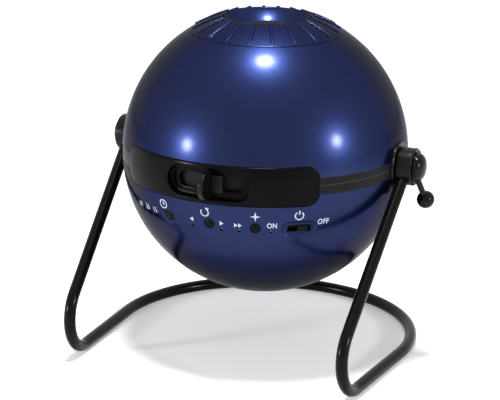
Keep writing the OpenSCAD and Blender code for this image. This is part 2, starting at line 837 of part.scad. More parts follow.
module meteor_tube() {
    color(black) in_ball() difference() {
        union() {
            translate([0, meteor_y, 39]) cylinder(r = 1.9, h = bezel_z - 39 - 0.1);
            translate([-5.5, meteor_axis_y - 5.5, 39]) cube([11, 16, 1.4]);
        }
        translate([0, meteor_y, 38]) cylinder(r = 1.4, h = 30);
        translate([0, 0, 30]) cylinder(r = barrel_top_r + 0.02, h = 30);
        translate([-4, meteor_axis_y - 4, meteor_slot_z - 0.5]) cube([8, 4 + 9.2, 2]);
        translate([0, meteor_axis_y, 38]) cylinder(r = 1.6, h = 4);
    }
}

module meteor_lens() { color(glass_tone) in_ball() translate([0, meteor_y, 0]) lens(1.35, 54, 55.4, 0.25, 0.4); }

module meteor_led() {
    color([0.9, 0.95, 1]) in_ball() translate([0, meteor_y, 0]) {
        translate([0, 0, 36.4]) cylinder(r = 1.9, h = 2.6);
        translate([0, 0, 39 - eps]) cylinder(r = 1.3, h = 1.6);
    }
}

module meteor_motor() {
    color(steel) in_ball() translate([0, meteor_axis_y, 0]) difference() {
        translate([0, 0, 30]) cylinder(r = 5, h = 9);
        translate([0, 0, 34]) cylinder(r = 0.75 + run_gap, h = 8);
    }
}

module meteor_shutter() {
    color(charcoal) in_ball() translate([0, meteor_axis_y, 0]) {
        difference() {
            translate([0, 0, meteor_slot_z]) cylinder(r = 8.4, h = 0.8);
            translate([-0.3, 5.8, meteor_slot_z - 1]) cube([0.6, 2, 3]);
        }
        translate([0, 0, 35]) cylinder(r = 0.75, h = meteor_slot_z - 35 + eps);
        translate([0, 0, meteor_slot_z - 1]) cylinder(r = 1.5, h = 1 + eps);
    }
}

// ---------- ball: controls ----------

module control_boards() {
    color(board_green) in_ball() for (b = boards)
        on_ball([b[0], board_lat], board_r) translate([-b[1] / 2, -5.5, 0]) cube([b[1], 10, board_t]);
}

// A switch sits on its board straight behind its button.
module tact_switches() {
    spots = [[boards[0], timer_at], [boards[1], move_at], [boards[2], meteor_at]];
    color(steel) in_ball() for (s = spots)
        on_ball([s[0][0], board_lat], board_r + board_t)
            translate([board_r * sin(s[1][0] - s[0][0]), board_r * sin(s[1][1] - board_lat), 0]) {
                translate([-2.6, -2.6, 0]) cube([5.2, 5.2, tact_h]);
                translate([0, 0, tact_h - eps]) cylinder(r = 1.1, h = plunger_h);
            }
}

function board_of(a) = a < -20 ? boards[0][0] : a < 8 ? boards[1][0] : boards[2][0];

module indicator_leds() {
    color([0.35, 0.1, 0.1]) in_ball() for (a = led_angles)
        on_ball([a, led_lat], (board_r + board_t) / cos(a - board_of(a)) + 0.12) cylinder(r = 0.75, h = 9.2);
}

// A round button: its cap shows in the dish, its collar stays behind the shell.
module button(at) {
    plunger_clear = 1;                            // from the plunger to the fully pressed button
    cap_r0 = board_r + board_t + tact_h + plunger_h + plunger_clear + button_travel;
    color(black) in_ball() on_ball(at) {
        translate([0, 0, cap_r0]) cylinder(r = button_r, h = ball_r - dish_depth + 0.6 - cap_r0 - 0.5);
        translate([0, 0, ball_r - dish_depth + 0.1 - eps]) cylinder(r1 = button_r, r2 = button_r - 0.5, h = 0.5);
        translate([0, 0, cap_r0 + 0.6]) cylinder(r = button_r + 1.2, h = 1.2);
        translate([0, 0, cap_r0]) cylinder(r = button_r - 0.6, h = 1);
    }
}

module timer_button() { button(timer_at); }
module move_button() { button(move_at); }
module meteor_button() { button(meteor_at); }

module power_switch() {
    color(charcoal) in_ball() on_ball(power_at, 0) difference() {
        union() {
            translate([-6.5, -4, switch_top - 6.6]) cube([13, 8, 6.6]);
            translate([-2, -switch_peg_y - 0.9, switch_top - 1.2]) cube([4, 2 * switch_peg_y + 1.8, 1.2]);
        }
        translate([-3.6, -1.4, switch_top - 3.4]) cube([7.2, 2.8, 5]);
    }
}

module power_slider() {
    cap_w = 4.4;
    cap_top = ball_r - 0.35;
    color(charcoal) in_ball() on_ball(power_at) translate([power_rest, 0, 0]) {
        translate([-7.4, -2.9, 63.7]) cube([14.8, 5.8, 0.9]);
        difference() {
            translate([-cap_w / 2, -power_slot.y / 2 + 0.2, 64.2]) cube([cap_w, power_slot.y - 0.4, cap_top - 64.2]);
            for (i = [-1.5 : 1 : 1.5]) translate([i - 0.25, -3, cap_top - 0.4]) cube([0.5, 6, 1]);
        }
        translate([-1, -1, 61]) cube([2, 2, 3]);
    }
}

module dc_socket() {
    face_y = socket_seat_y - plug_depth;
    color(black) in_ball() translate([0, 0, socket_z]) difference() {
        union() {
            bar_y(4.9, face_y, face_y - 2);
            translate([-4.6, face_y - 12, -4.9]) cube([9.2, 10.5, 9.4]);
        }
        difference() {
            bar_y(2.8, face_y + 1, face_y - 9.5);
            bar_y(1.05, face_y - 0.8, face_y - 10);
        }
    }
}

module main_board() {
    color(board_green) in_ball() {
        translate([25, -13, deck_lo_z - 6]) cube([14, 46, 1.4]);
        for (p = [[27.5, -10.5], [36.5, -10.5], [27.5, 30.5], [36.5, 30.5]])
            translate([p.x, p.y, deck_lo_z - 4.6 - eps]) cylinder(r = 1.2, h = 4.6 + eps);
        translate([28, 6, deck_lo_z - 8]) cube([8, 8, 2 + eps]);
    }
}

// ---------- ball: fasteners ----------

module shell_screws() {
    color(steel) in_ball() mirrored_x() for (p = shell_posts) translate([p.x, p.y, 0]) {
        translate([0, 0, screw_seat_z]) screw(1.1, 2.6, 11);
        translate([0, 0, deck_hi_z]) screw(1.25, 2.6, 12);
    }
}

module chassis_screws() {
    color(steel) in_ball() {
        mirrored_x() for (p = chassis_posts) translate([p.x, p.y, deck_lo_z]) screw(1.1, 2.6, 18);
        for (a = [45 : 90 : 315]) rotate([0, 0, a]) translate([21, 0, deck_hi_top + 2.2])
            mirror([0, 0, 1]) screw(0.95, 2, 4.2);
    }
}

// ---------- tray ----------

module front_panel() {
    color(black) in_ball() {
        difference() {
            panel_blank(0, panel_r, panel_r - panel_t);
            translate([0, -50, 0]) rotate([90, 0, 0]) linear_extrude(30)
                stadium(recess_half_w, recess_r);
        }
        // cup of the finger recess, with the slot for the focus knob's stem
        difference() {
            intersection() {
                translate([0, -50, 0]) rotate([90, 0, 0]) linear_extrude(22)
                    stadium(recess_half_w + pocket_wall, recess_r + pocket_wall);
                translate([0, 0, -15]) cylinder(r = panel_r - panel_t / 2 - 0.4, h = 30);
            }
            translate([0, 0, -20]) cylinder(r = pocket_floor_r - pocket_wall, h = 40);
            difference() {
                translate([0, -50, 0]) rotate([90, 0, 0]) linear_extrude(24)
                    stadium(recess_half_w, recess_r);
                translate([0, 0, -21]) cylinder(r = pocket_floor_r, h = 42);
            }
            translate([0, -50, 0]) rotate([90, 0, 0]) linear_extrude(24)
                stadium(slot_half_w, slot_r);
        }
        // tabs that screw down on the tray
        mirrored_x() difference() {
            intersection() {
                translate([25, -66, tray_top]) cube([8, 19, 2]);
                sphere(panel_r - 0.5);
            }
            translate([29, -50, tray_top - 1]) cylinder(r = 1.4, h = 5);
        }
    }
}

module tray_frame() {
    color(charcoal) in_ball() difference() {
        union() {
            translate([0, 0, tray_z]) linear_extrude(tray_t) {
                translate([-tray_half_w, -51]) square([2 * tray_half_w, 51]);
                translate([-31.5, tray_front_y]) square([63, 10]);
                for (side = [-1, 1]) translate([side * (tray_half_w - 2.05) - 2.05, -1]) square([4.1, tray_tail_y + 1]);
                circle(35.2);
            }
            translate([0, 0, tray_top - eps]) tube(guide_out_r, guide_in_r, focus_top - tray_top + eps);
        }
        translate([0, 0, tray_z - 1]) cylinder(r = light_hole_r, h = tray_t + 2);
        // the shaft of the pinion stands behind the tray
        translate([-9, guide_out_r + 2.4, tray_z - 1]) cube([18, 20, 4]);
        // upright slots for the carrier's pins
        for (a = pin_angles) rotate([0, 0, a]) {
            translate([guide_in_r - 1, -pin_slot_r, pin_z - focus_lift]) cube([4, 2 * pin_slot_r, 10]);
            translate([guide_in_r - 1, 0, pin_z - focus_lift]) rotate([0, 90, 0]) cylinder(r = pin_slot_r, h = 4);
        }
        mirrored_x() translate([29, -50, tray_z - 1]) cylinder(r = 1, h = 5);
    }
}

module tray_screws() {
    color(steel) in_ball() mirrored_x() translate([29, -50, tray_top + 2]) mirror([0, 0, 1]) screw(0.95, 2, 3.6, 1.2);
}

// ---------- focus ----------

// The ring turns on the tray. Its sloping slots lift the carrier's pins.
module focus_ring() {
    pin_path_r = (focus_in_r + focus_out_r) / 2;
    half_arc = pin_path_r * sin(focus_swing);
    past_end = 0.4;                               // the slots run this far past the swing
    reach = half_arc + past_end;
    color(nylon) in_ball() difference() {
        union() {
            translate([0, 0, focus_z]) tube(focus_out_r, focus_in_r, focus_top - focus_z);
            translate([-4, -shield_r + 1, focus_z + 2.6]) cube([8, shield_r - focus_out_r, 2.4]);
            rotate([0, 0, -90 - shield_angle]) rotate_extrude(angle = 2 * shield_angle)
                translate([shield_r - 1.2, -4.2]) square([1.2, 8.4]);
        }
        for (a = pin_angles) rotate([0, 0, a]) hull() for (s = [-1, 1])
            translate([focus_in_r - 1.2, s * reach, pin_z - s * focus_lift * reach / half_arc]) rotate([0, 90, 0])
                cylinder(r = pin_slot_r, h = focus_out_r - focus_in_r + 2.4, $fn = 32);
        translate([0, 0, focus_z - 1]) cylinder(r = focus_in_r, h = 10);
        translate([-2.6, -shield_r - 1, -2.6]) cube([5.2, 3, 5.2]);
    }
}

// A low block that slides along the recess, with a round-ended upright fin to hold it by.
module focus_knob() {
    base_back_r = 64.9;
    base_front_r = 66.4;
    base_x = [-3.6, 7];
    base_half_h = 4.1;
    fin_x = -0.1;
    fin_t = 2.2;
    fin_r = 6.3;
    fin_tip_r = 77.5;
    stem = 5.1;
    color(black) in_ball() {
        // stem through the slot
        translate([-stem / 2, -base_back_r - 0.5, -stem / 2])
            cube([stem, base_back_r + 0.5 - shield_r + 1.2, stem]);
        difference() {
            union() {
                intersection() {
                    translate([base_x[0], -base_front_r - 2, -base_half_h])
                        cube([base_x[1] - base_x[0], 12, 2 * base_half_h]);
                    translate([0, 0, -8]) cylinder(r = base_front_r, h = 16);
                }
                translate([fin_x, -fin_tip_r + 9.5, 0]) rotate([0, 90, 0]) linear_extrude(fin_t)
                    rotate(90) stadium(9.5, fin_r);
            }
            translate([0, 0, -9]) cylinder(r = base_back_r, h = 18);
        }
    }
}

// The carrier rises and sinks on three pins and holds the turntable.
module disc_carrier() {
    color(charcoal) in_ball() {
        translate([0, 0, -5]) tube(guide_in_r - 0.25, 27.6, 4.1);
        // a thin lip carries the turntable and passes inside the pinion
        translate([0, 0, -1]) tube(28.4, 27.6, 1.8);
        for (a = pin_angles) rotate([0, 0, a]) translate([29.5, 0, pin_z]) rotate([0, 90, 0])
            cylinder(r = pin_r, h = focus_out_r - 0.4 - 29.5);
    }
}

// ---------- turntable ----------

module turntable() {
    color(nylon) in_ball() difference() {
        union() {
            translate([0, 0, rim_z]) linear_extrude(rim_h) gear_outline(turntable_teeth, rim_module);
            translate([0, 0, rim_z + rim_h - eps]) cylinder(r = 28, h = 0.6);
            translate([0, 0, -4.2]) cylinder(r = 27.6 - run_gap, h = 4.2 + rim_z + eps);
        }
        translate([0, 0, -5]) cylinder(r = 23, h = 20);
        translate([0, 0, disc_z]) cylinder(r = disc_r + 0.1, h = 10);
    }
}

module star_disc() {
    color([0.08, 0.08, 0.1]) in_ball() translate([0, 0, disc_z]) cylinder(r = disc_r, h = disc_t);
}

module disc_clip() {
    color(charcoal) in_ball() translate([0, 0, disc_z + disc_t]) difference() {
        tube(disc_r, 22.6, 1.1);
        for (a = [0 : 120 : 240]) rotate([0, 0, a]) translate([21, -2, 0.5]) cube([2.6, 4, 2]);
    }
}

stand_frame();
left_hub();
right_hub();
left_axle();
clamp_screw();
clamp_knob();
clamp_lever();
upper_shell();
lower_shell();
lens_ring();
upper_chassis();
lower_chassis();
left_boss();
right_boss();
tray_rails();
tray_latch();
lens_barrel();
lens_bezel();
rear_lens();
middle_lens();
front_lens();
condenser_housing();
condenser_lens_lower();
condenser_lens_upper();
led_board();
led_emitter();
heat_sink();
motor();
gearbox_bracket();
shaft_bushes();
meteor_tube();
meteor_lens();
meteor_led();
meteor_motor();
meteor_shutter();
control_boards();
tact_switches();
indicator_leds();
power_switch();
dc_socket();
main_board();
shell_screws();
chassis_screws();
front_panel();
tray_frame();
tray_screws();
focus_ring();
focus_knob();
disc_carrier();
turntable();
star_disc();
disc_clip();
drive_pinion();
reduction_gear();
motor_pinion();
timer_button();
move_button();
meteor_button();
power_slider();
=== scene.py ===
import json
import math

import bmesh
import bpy
import numpy as np
from mathutils import Matrix, Vector


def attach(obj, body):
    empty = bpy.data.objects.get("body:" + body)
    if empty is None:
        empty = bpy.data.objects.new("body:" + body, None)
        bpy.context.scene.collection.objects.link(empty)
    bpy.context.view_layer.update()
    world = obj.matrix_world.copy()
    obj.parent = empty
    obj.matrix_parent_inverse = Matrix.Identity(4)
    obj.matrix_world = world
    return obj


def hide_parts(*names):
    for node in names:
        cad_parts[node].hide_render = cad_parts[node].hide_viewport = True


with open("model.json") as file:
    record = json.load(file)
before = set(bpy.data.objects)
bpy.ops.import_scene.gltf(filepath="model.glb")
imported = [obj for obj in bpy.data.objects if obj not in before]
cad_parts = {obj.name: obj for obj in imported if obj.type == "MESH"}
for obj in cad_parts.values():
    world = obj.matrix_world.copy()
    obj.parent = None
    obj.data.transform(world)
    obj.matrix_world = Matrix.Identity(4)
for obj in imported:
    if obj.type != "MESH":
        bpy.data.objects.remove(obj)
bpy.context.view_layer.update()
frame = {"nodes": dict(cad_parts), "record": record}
NODE = frame["nodes"]
rad = math.radians

# All lengths below are millimetres, and heights are measured from the tilt axis.
PZ = 94.2                        # the tilt axis above the table
R0, R_IN = 68.0, 65.8            # the casing's outside and inside
BAND = 4.0                       # half the gap between the painted shells
SEAT_Z = R0 * math.cos(rad(32.5))        # where the ribbed ring begins
PANEL_HALF, PANEL_H, PANEL_CORNER, PANEL_GAP = rad(44), 9.05, 6.0, 0.25
R_PANEL = R0 + 0.3
PANEL_T = 2.4
LIP_W, LIP_H, FLOOR_R = 20.6, 7.2, 64.6  # the panel's recess: half sizes and its floor's radius
BOSS_R, BORE_R = 11.2, 8.8               # seats of the side bosses in the shells
BUTTON_BORE, LED_BORE = 2.55, 0.85
WELL_R, PLUG_R = 3.6, 8.5
ROD_R, REAR_R, REAR_Y, BEND_R = 2.8, 72.0, 0.5, 17
FOOT_TOE, CORNER_Y, LEG_X = rad(3), -97.6, 71.5
# Places on the ball: degrees from the front, and latitude.
BUTTONS = {"timer": (-19.7, -16.7), "move": (0.0, -16.7), "meteor": (19.1, -17.2)}
POWER = (36.8, -17.5)
LEDS = [(a, -18.3) for a in (-36.8, -32.1, -27.4, -7.2, 5.4, 12.6, 25.6)]
POSTS = [(sx * 44, y) for sx in (-1, 1) for y in (2, 20)]    # the screw wells
SOCKET_Z = -27.0


# ---------- camera ----------

# Pixels are those of the 500 by 400 picture. Each lamp: its highlight's pixel, diameter (m), power (W).
WIDTH, CENTRE = 500, (250, 200)
LAMP_DIST = 1.2
LAMPS = {"lamp_top": ((265, 63), 0.24, 17), "lamp_left": ((189, 145), 0.15, 7),
         "lamp_right": ((335, 141), 0.15, 6.5)}
CAM = dict(az=23.0895, el=16.4891, roll=0.6892, dist=998.8, ox=-7.260, oy=-24.497, f=2094.79)


def camera():
    """The view fitted to the photograph. Azimuth a and elevation e give the direction
    back = (sin a cos e, -cos a cos e, sin e); the picture's right and up are turned by the roll;
    the eye is dist along back from the tilt axis, shifted by ox to the right and oy upwards.
    A length L at depth z covers f L / z pixels of 500."""
    a, e, k = rad(CAM["az"]), rad(CAM["el"]), rad(CAM["roll"])
    back = np.array([math.sin(a) * math.cos(e), -math.cos(a) * math.cos(e), math.sin(e)])
    right = np.array([math.cos(a), math.sin(a), 0])
    up = np.cross(back, right)
    r = math.cos(k) * right + math.sin(k) * up
    u = -math.sin(k) * right + math.cos(k) * up
    at = np.array([0, 0, PZ]) + CAM["dist"] * back + CAM["ox"] * r + CAM["oy"] * u
    data = bpy.data.cameras.new("camera")
    data.sensor_width = 36
    data.lens = CAM["f"] * data.sensor_width / WIDTH
    data.clip_start, data.clip_end = 0.05, 50
    cam = bpy.data.objects.new("camera", data)
    m = Matrix.Identity(4)
    for i, axis in enumerate((r, u, back)):
        for j in range(3):
            m[j][i] = axis[j]
    m.translation = Vector(at / 1000)
    cam.matrix_world = m
    bpy.context.scene.collection.objects.link(cam)
    bpy.context.scene.camera = cam
    return back, r, u, at


BACK, CAM_R, CAM_U, CAM_AT = camera()


# ---------- materials ----------

FLAKE_SCALE = 5200  # the lacquer's metal flakes, cells per metre

def material(name, base, rough, metallic=0.0, spec=0.5, coat=0.0, coat_rough=0.05,
             vary=0.0, vary_scale=60.0, bump=0.0, bump_scale=900.0, rough_vary=0.0,
             flake=0.0, brushed=None, transmission=0.0, tint=None):
    """A procedural surface. The base colour runs from (1 - vary) to (1 + vary) times itself with a
    slow noise; flake mixes in cells from (1 - flake) to (1 + flake) times; the roughness varies by
    rough_vary, and a fine noise bumps the surface. `brushed` stretches the noise along an axis."""
    m = bpy.data.materials.new(name)
    m.use_nodes = True
    t = m.node_tree
    t.nodes.clear()
    out = t.nodes.new("ShaderNodeOutputMaterial")
    p = t.nodes.new("ShaderNodeBsdfPrincipled")
    t.links.new(p.outputs[0], out.inputs[0])
    p.inputs["Metallic"].default_value = metallic
    p.inputs["Roughness"].default_value = rough
    p.inputs["Specular IOR Level"].default_value = spec
    p.inputs["Coat Weight"].default_value = coat
    p.inputs["Coat Roughness"].default_value = coat_rough
    p.inputs["Transmission Weight"].default_value = transmission
    if tint:
        p.inputs["Specular Tint"].default_value = (*tint, 1)
    coord = t.nodes.new("ShaderNodeTexCoord")
    mapping = t.nodes.new("ShaderNodeMapping")
    t.links.new(coord.outputs["Object"], mapping.inputs[0])
    if brushed:
        mapping.inputs["Scale"].default_value = brushed

    def noise(scale, detail=3):
        n = t.nodes.new("ShaderNodeTexNoise")
        n.inputs["Scale"].default_value = scale
        n.inputs["Detail"].default_value = detail
        t.links.new(mapping.outputs[0], n.inputs["Vector"])
        return n.outputs["Fac"]

    def ramp(fac, c0, c1, p0=0.3, p1=0.7):
        r = t.nodes.new("ShaderNodeValToRGB")
        r.color_ramp.elements[0].position, r.color_ramp.elements[1].position = p0, p1
        r.color_ramp.elements[0].color, r.color_ramp.elements[1].color = c0, c1
        t.links.new(fac, r.inputs[0])
        return r.outputs[0]

    lo = (*[max(0, c * (1 - vary)) for c in base], 1)
    hi = (*[min(1, c * (1 + vary)) for c in base], 1)
    color = ramp(noise(vary_scale), lo, hi)
    if flake:
        v = t.nodes.new("ShaderNodeTexVoronoi")
        v.inputs["Scale"].default_value = FLAKE_SCALE
        t.links.new(mapping.outputs[0], v.inputs["Vector"])
        grain = ramp(v.outputs["Color"], (*[c * (1 - flake) for c in base], 1),
                     (*[min(1, c * (1 + flake)) for c in base], 1), 0.2, 0.85)
        mix = t.nodes.new("ShaderNodeMix")
        mix.data_type = "RGBA"
        mix.inputs[0].default_value = 0.5
        t.links.new(color, mix.inputs[6])
        t.links.new(grain, mix.inputs[7])
        color = mix.outputs[2]
    t.links.new(color, p.inputs["Base Color"])
    if rough_vary:
        r = t.nodes.new("ShaderNodeMapRange")
        r.inputs["To Min"].default_value = rough - rough_vary
        r.inputs["To Max"].default_value = rough + rough_vary
        t.links.new(noise(vary_scale * 2.3), r.inputs["Value"])
        t.links.new(r.outputs[0], p.inputs["Roughness"])
    if bump:
        b = t.nodes.new("ShaderNodeBump")
        b.inputs["Strength"].default_value = bump
        b.inputs["Distance"].default_value = 0.0001
        t.links.new(noise(bump_scale, 4), b.inputs["Height"])
        t.links.new(b.outputs[0], p.inputs["Normal"])
    return m


BLUE = material("blue_lacquer", (0.0098, 0.0172, 0.068), 0.33, metallic=1.0,
                tint=(0.16, 0.18, 0.24), coat=0.2, coat_rough=0.16, vary=0.05, vary_scale=35,
                flake=0.4, bump=0.05, bump_scale=2600)
PANEL = material("panel_black", (0.0025, 0.0025, 0.0027), 0.22, spec=0.05, vary=0.18, vary_scale=45,
                 bump=0.03, bump_scale=1500, rough_vary=0.03)
GLOSS = material("gloss_black", (0.0025, 0.0025, 0.0027), 0.2, spec=0.14, vary=0.2, vary_scale=70,
                 bump=0.02, bump_scale=1200, rough_vary=0.03)
KNOB = material("knob_black", (0.003, 0.003, 0.0033), 0.26, spec=0.18, vary=0.2, vary_scale=90,
                bump=0.03, bump_scale=1300, rough_vary=0.04)
BUTTON = material("button_black", (0.003, 0.003, 0.0035), 0.35, spec=0.06, vary=0.2, vary_scale=90,
                  bump=0.03, bump_scale=1300, rough_vary=0.04)
HUB = material("hub_black", (0.003, 0.003, 0.0033), 0.27, spec=0.15, vary=0.2, vary_scale=80,
               bump=0.04, bump_scale=1400, rough_vary=0.04)
ROD = material("rod_black", (0.0025, 0.0025, 0.0027), 0.2, spec=0.09, vary=0.2, vary_scale=120,
               bump=0.02, bump_scale=1700, rough_vary=0.03)
BANDM = material("band_charcoal", (0.012, 0.0117, 0.0113), 0.4, spec=0.06, vary=0.15, vary_scale=50,
                 bump=0.05, bump_scale=1500, rough_vary=0.05)
CHAR = material("moulded_charcoal", (0.03, 0.03, 0.032), 0.5, spec=0.25, vary=0.15, bump=0.08,
                bump_scale=1100, rough_vary=0.06)
MATT = material("matt_black", (0.006, 0.006, 0.0065), 0.6, spec=0.15, vary=0.2, bump=0.08,
                bump_scale=1300, rough_vary=0.06)
PRINT = material("print_white", (0.5, 0.53, 0.66), 0.5, spec=0.3, vary=0.08, vary_scale=900,
                 bump=0.04, bump_scale=2500)
STEEL = material("steel", (0.56, 0.57, 0.58), 0.3, metallic=1.0, vary=0.08, vary_scale=200,
                 bump=0.05, bump_scale=500, rough_vary=0.08, brushed=(1, 1, 9))
ALU = material("heat_sink", (0.68, 0.69, 0.7), 0.4, metallic=1.0, vary=0.06, vary_scale=150,
               bump=0.06, bump_scale=600, rough_vary=0.08, brushed=(1, 8, 1))
BRASS = material("brass", (0.68, 0.48, 0.2), 0.28, metallic=1.0, vary=0.08, vary_scale=180,
                 bump=0.04, bump_scale=600, rough_vary=0.06)
NYLON = material("nylon", (0.78, 0.76, 0.68), 0.5, spec=0.4, vary=0.05, vary_scale=60, bump=0.06,
                 bump_scale=900, rough_vary=0.06)
GREEN = material("board_green", (0.03, 0.16, 0.07), 0.4, spec=0.5, vary=0.35, vary_scale=420,
                 bump=0.05, bump_scale=900, rough_vary=0.06)
WHITE = material("board_white", (0.8, 0.8, 0.78), 0.45, vary=0.05, vary_scale=200, bump=0.04,
                 bump_scale=700)
PHOS = material("phosphor", (0.85, 0.7, 0.18), 0.5, vary=0.12, vary_scale=800, bump=0.05,
                bump_scale=1500)
RESIN = material("clear_resin", (0.85, 0.9, 0.95), 0.12, transmission=0.6, vary=0.04, vary_scale=90,
                 bump=0.01, bump_scale=400)
LED_OFF = material("led_dark", (0.02, 0.012, 0.014), 0.25, spec=0.5, coat=0.5, vary=0.2,
                   vary_scale=700, bump=0.02, bump_scale=900)
GLASS = material("lens_glass", (0.93, 0.97, 1.0), 0.03, transmission=0.92, spec=0.6, vary=0.02,
                 vary_scale=30, bump=0.004, bump_scale=200)
FILM = material("disc_film", (0.012, 0.013, 0.02), 0.18, spec=0.5, coat=0.6, vary=0.3,
                vary_scale=40, bump=0.02, bump_scale=500)
SLIDER = material("slider_grey", (0.009, 0.007, 0.006), 0.45, spec=0.1, vary=0.15, vary_scale=300,
                  bump=0.05, bump_scale=1500)

BY_SLOT = {"rod_black": ROD, "hub_black": HUB, "gloss_black": GLOSS, "dark_steel": HUB,
           "blue_paint": BLUE, "charcoal": CHAR, "matt_black": MATT, "steel": STEEL,
           "brass": BRASS, "lens_glass": GLASS, "board_white": WHITE, "phosphor": PHOS,
           "heat_sink": ALU, "led_body": RESIN, "led_red": LED_OFF, "board_green": GREEN,
           "nylon": NYLON, "disc_film": FILM}
for row in frame["record"]["subparts"]:
    slots = NODE[row["node"]].material_slots
    for s in slots:
        s.material = BY_SLOT[row["material_slot"]]
    NODE[row["node"]].data.set_sharp_from_angle(angle=rad(32))


# ---------- mesh helpers ----------

def quads(a, b, close_a, close_b):
    """Four-sided faces of an a by b grid of points: (i, j), (i+1, j), (i+1, j+1), (i, j+1)."""
    i = np.arange(a if close_a else a - 1)[:, None]
    j = np.arange(b if close_b else b - 1)[None, :]
    i2, j2 = (i + 1) % a, (j + 1) % b
    corners = np.broadcast_arrays(i * b + j, i2 * b + j, i2 * b + j2, i * b + j2)
    return np.stack(corners, -1).reshape(-1, 4)


def build(V, F):
    """A mesh data block from points in mm (row frame) and faces: an array, or a list of arrays."""
    me = bpy.data.meshes.new("m")
    V = np.asarray(V, float).reshape(-1, 3) / 1000
    parts = F if isinstance(F, list) else [F]
    me.vertices.add(len(V))
    me.vertices.foreach_set("co", V.astype(np.float32).ravel())
    loops = np.concatenate([f.ravel() for f in parts]).astype(np.int32)
    sizes = np.concatenate([np.full(len(f), f.shape[1]) for f in parts]).astype(np.int32)
    me.loops.add(len(loops))
    me.loops.foreach_set("vertex_index", loops)
    me.polygons.add(len(sizes))
    me.polygons.foreach_set("loop_start", np.concatenate([[0], np.cumsum(sizes)[:-1]]).astype(np.int32))
    me.update(calc_edges=True)
    me.validate()
    bm = bmesh.new()
    bm.from_mesh(me)
    bmesh.ops.remove_doubles(bm, verts=bm.verts, dist=2e-7)
    bmesh.ops.recalc_face_normals(bm, faces=bm.faces)
    bm.to_mesh(me)
    bm.free()
    return me


def piece(name, me, body, mat, slot, *nodes, sharp=38):
    """One finished piece: it moves with its body and stands for the CAD nodes named. Edges
    that turn by more than `sharp` degrees stay crisp, the others are shaded smooth."""
    o = bpy.data.objects.new(name, me)
    me.name = name
    bpy.context.scene.collection.objects.link(o)
    me.materials.clear()
    me.materials.append(mat)
    me.polygons.foreach_set("use_smooth", np.ones(len(me.polygons), bool))
    if sharp:
        me.set_sharp_from_angle(angle=rad(sharp))
    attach(o, body)
    if nodes:
        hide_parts(*nodes)
    return o


def merged(*meshes):
    """Several mesh blocks as one."""
    bm = bmesh.new()
    for me in meshes:
        bm.from_mesh(me)
    out = bpy.data.meshes.new("m")
    bm.to_mesh(out)
    bm.free()
    return out


def fillet(points, radii, n=5):
    """A profile with its corners rounded; the two end points stay. At a corner of half angle h
    an arc of radius r starts r / tan h from the corner, about a centre r / sin h along the
    bisector; its points are (sin((1-k) w) p + sin(k w) q) / sin w for k from 0 to 1."""
    out = [np.array(points[0], float)]
    for a, b, c, r in zip(points[:-2], points[1:-1], points[2:], radii):
        a, b, c = (np.array(v, float) for v in (a, b, c))
        u, v = (a - b) / np.linalg.norm(a - b), (c - b) / np.linalg.norm(c - b)
        half = math.acos(max(-1, min(1, u @ v))) / 2
        if r <= 0 or half < 0.05:
            out.append(b)
            continue
        t = r / math.tan(half)
        centre = b + (u + v) / np.linalg.norm(u + v) * r / math.sin(half)
        p, q = b + u * t - centre, b + v * t - centre
        w = math.acos(max(-1, min(1, p @ q / r / r)))
        k = np.linspace(0, 1, n)[:, None]
        out.extend(centre + (np.sin((1 - k) * w) * p + np.sin(k * w) * q) / math.sin(w))
    out.append(np.array(points[-1], float))
    return np.array(out)


def revolve(profile, angles=None, n=96):
    """Turns (r, z) rows round Z: (r cos a, r sin a, z). Rows with r = 0 close to a pole."""
    profile = np.asarray(profile, float)
    if angles is None:
        angles = np.arange(n) * 2 * math.pi / n
    c, s = np.cos(angles), np.sin(angles)
    P = np.stack([profile[:, 0, None] * c, profile[:, 0, None] * s,
                  np.broadcast_to(profile[:, 1, None], (len(profile), len(angles)))], -1)
    return P


def turned(name, profile, body, mat, slot, *nodes, axis="z", at=(0, 0, 0), n=96, closed=False, sharp=38):
    """A turned piece. axis 'x' puts (r, x) rows round the X axis, '-x' mirrors it, 'y' uses +Y."""
    P = revolve(profile, n=n)
    F = quads(P.shape[0], P.shape[1], closed, True)
    P = to_axis(P.reshape(-1, 3), axis) + np.array(at) + [0, 0, PZ]
    return piece(name, build(P, F), body, mat, slot, *nodes, sharp=sharp)


def to_axis(P, axis):
    """Swaps coordinates so that a piece turned round Z lies on X, on -X or on Y."""
    if axis == "x":
        return P[:, [2, 0, 1]]
    if axis == "-x":
        return P[:, [2, 0, 1]] * [-1, 1, 1]
    if axis == "y":
        return P[:, [1, 2, 0]]
    return P


def rrect(hw, hh, r, nc=10, ns=14):
    """Points of a rounded rectangle, the same number at the same places for any size: four
    quarter arcs of radius r about (+-(hw - r), +-(hh - r)), joined by straight stretches."""
    r = min(r, hw, hh) * 0.9995
    k = np.linspace(0, math.pi / 2, nc)
    out = []
    for q, (sx, sy) in enumerate(((1, 1), (-1, 1), (-1, -1), (1, -1))):
        a = k + q * math.pi / 2
        arc = np.stack([sx * (hw - r) + r * np.cos(a), sy * (hh - r) + r * np.sin(a)], -1)
        nx = ((-sx) * (hw - r), sy * (hh - r)) if q % 2 == 0 else (sx * (hw - r), -sy * (hh - r))
        b = (q + 1) * math.pi / 2
        end = np.array([nx[0] + r * math.cos(b), nx[1] + r * math.sin(b)])
        s = np.linspace(0, 1, ns + 2)[1:-1, None]
        out += [arc, arc[-1] * (1 - s) + end * s]
    return np.concatenate(out)


def on_sphere(phi, z, r):
    """Points at angle phi from the front (radians), height z, on a sphere of radius r:
    (q sin phi, -q cos phi, z) with q = sqrt(r^2 - z^2)."""
    rho = np.sqrt(np.maximum(r * r - z * z, 0))
    return np.stack([rho * np.sin(phi), -rho * np.cos(phi), z + 0 * phi], -1)


def rho(r, z):
    """Distance from the axis, sqrt(r^2 - z^2), on a sphere of radius r at height z."""
    return math.sqrt(r * r - z * z)


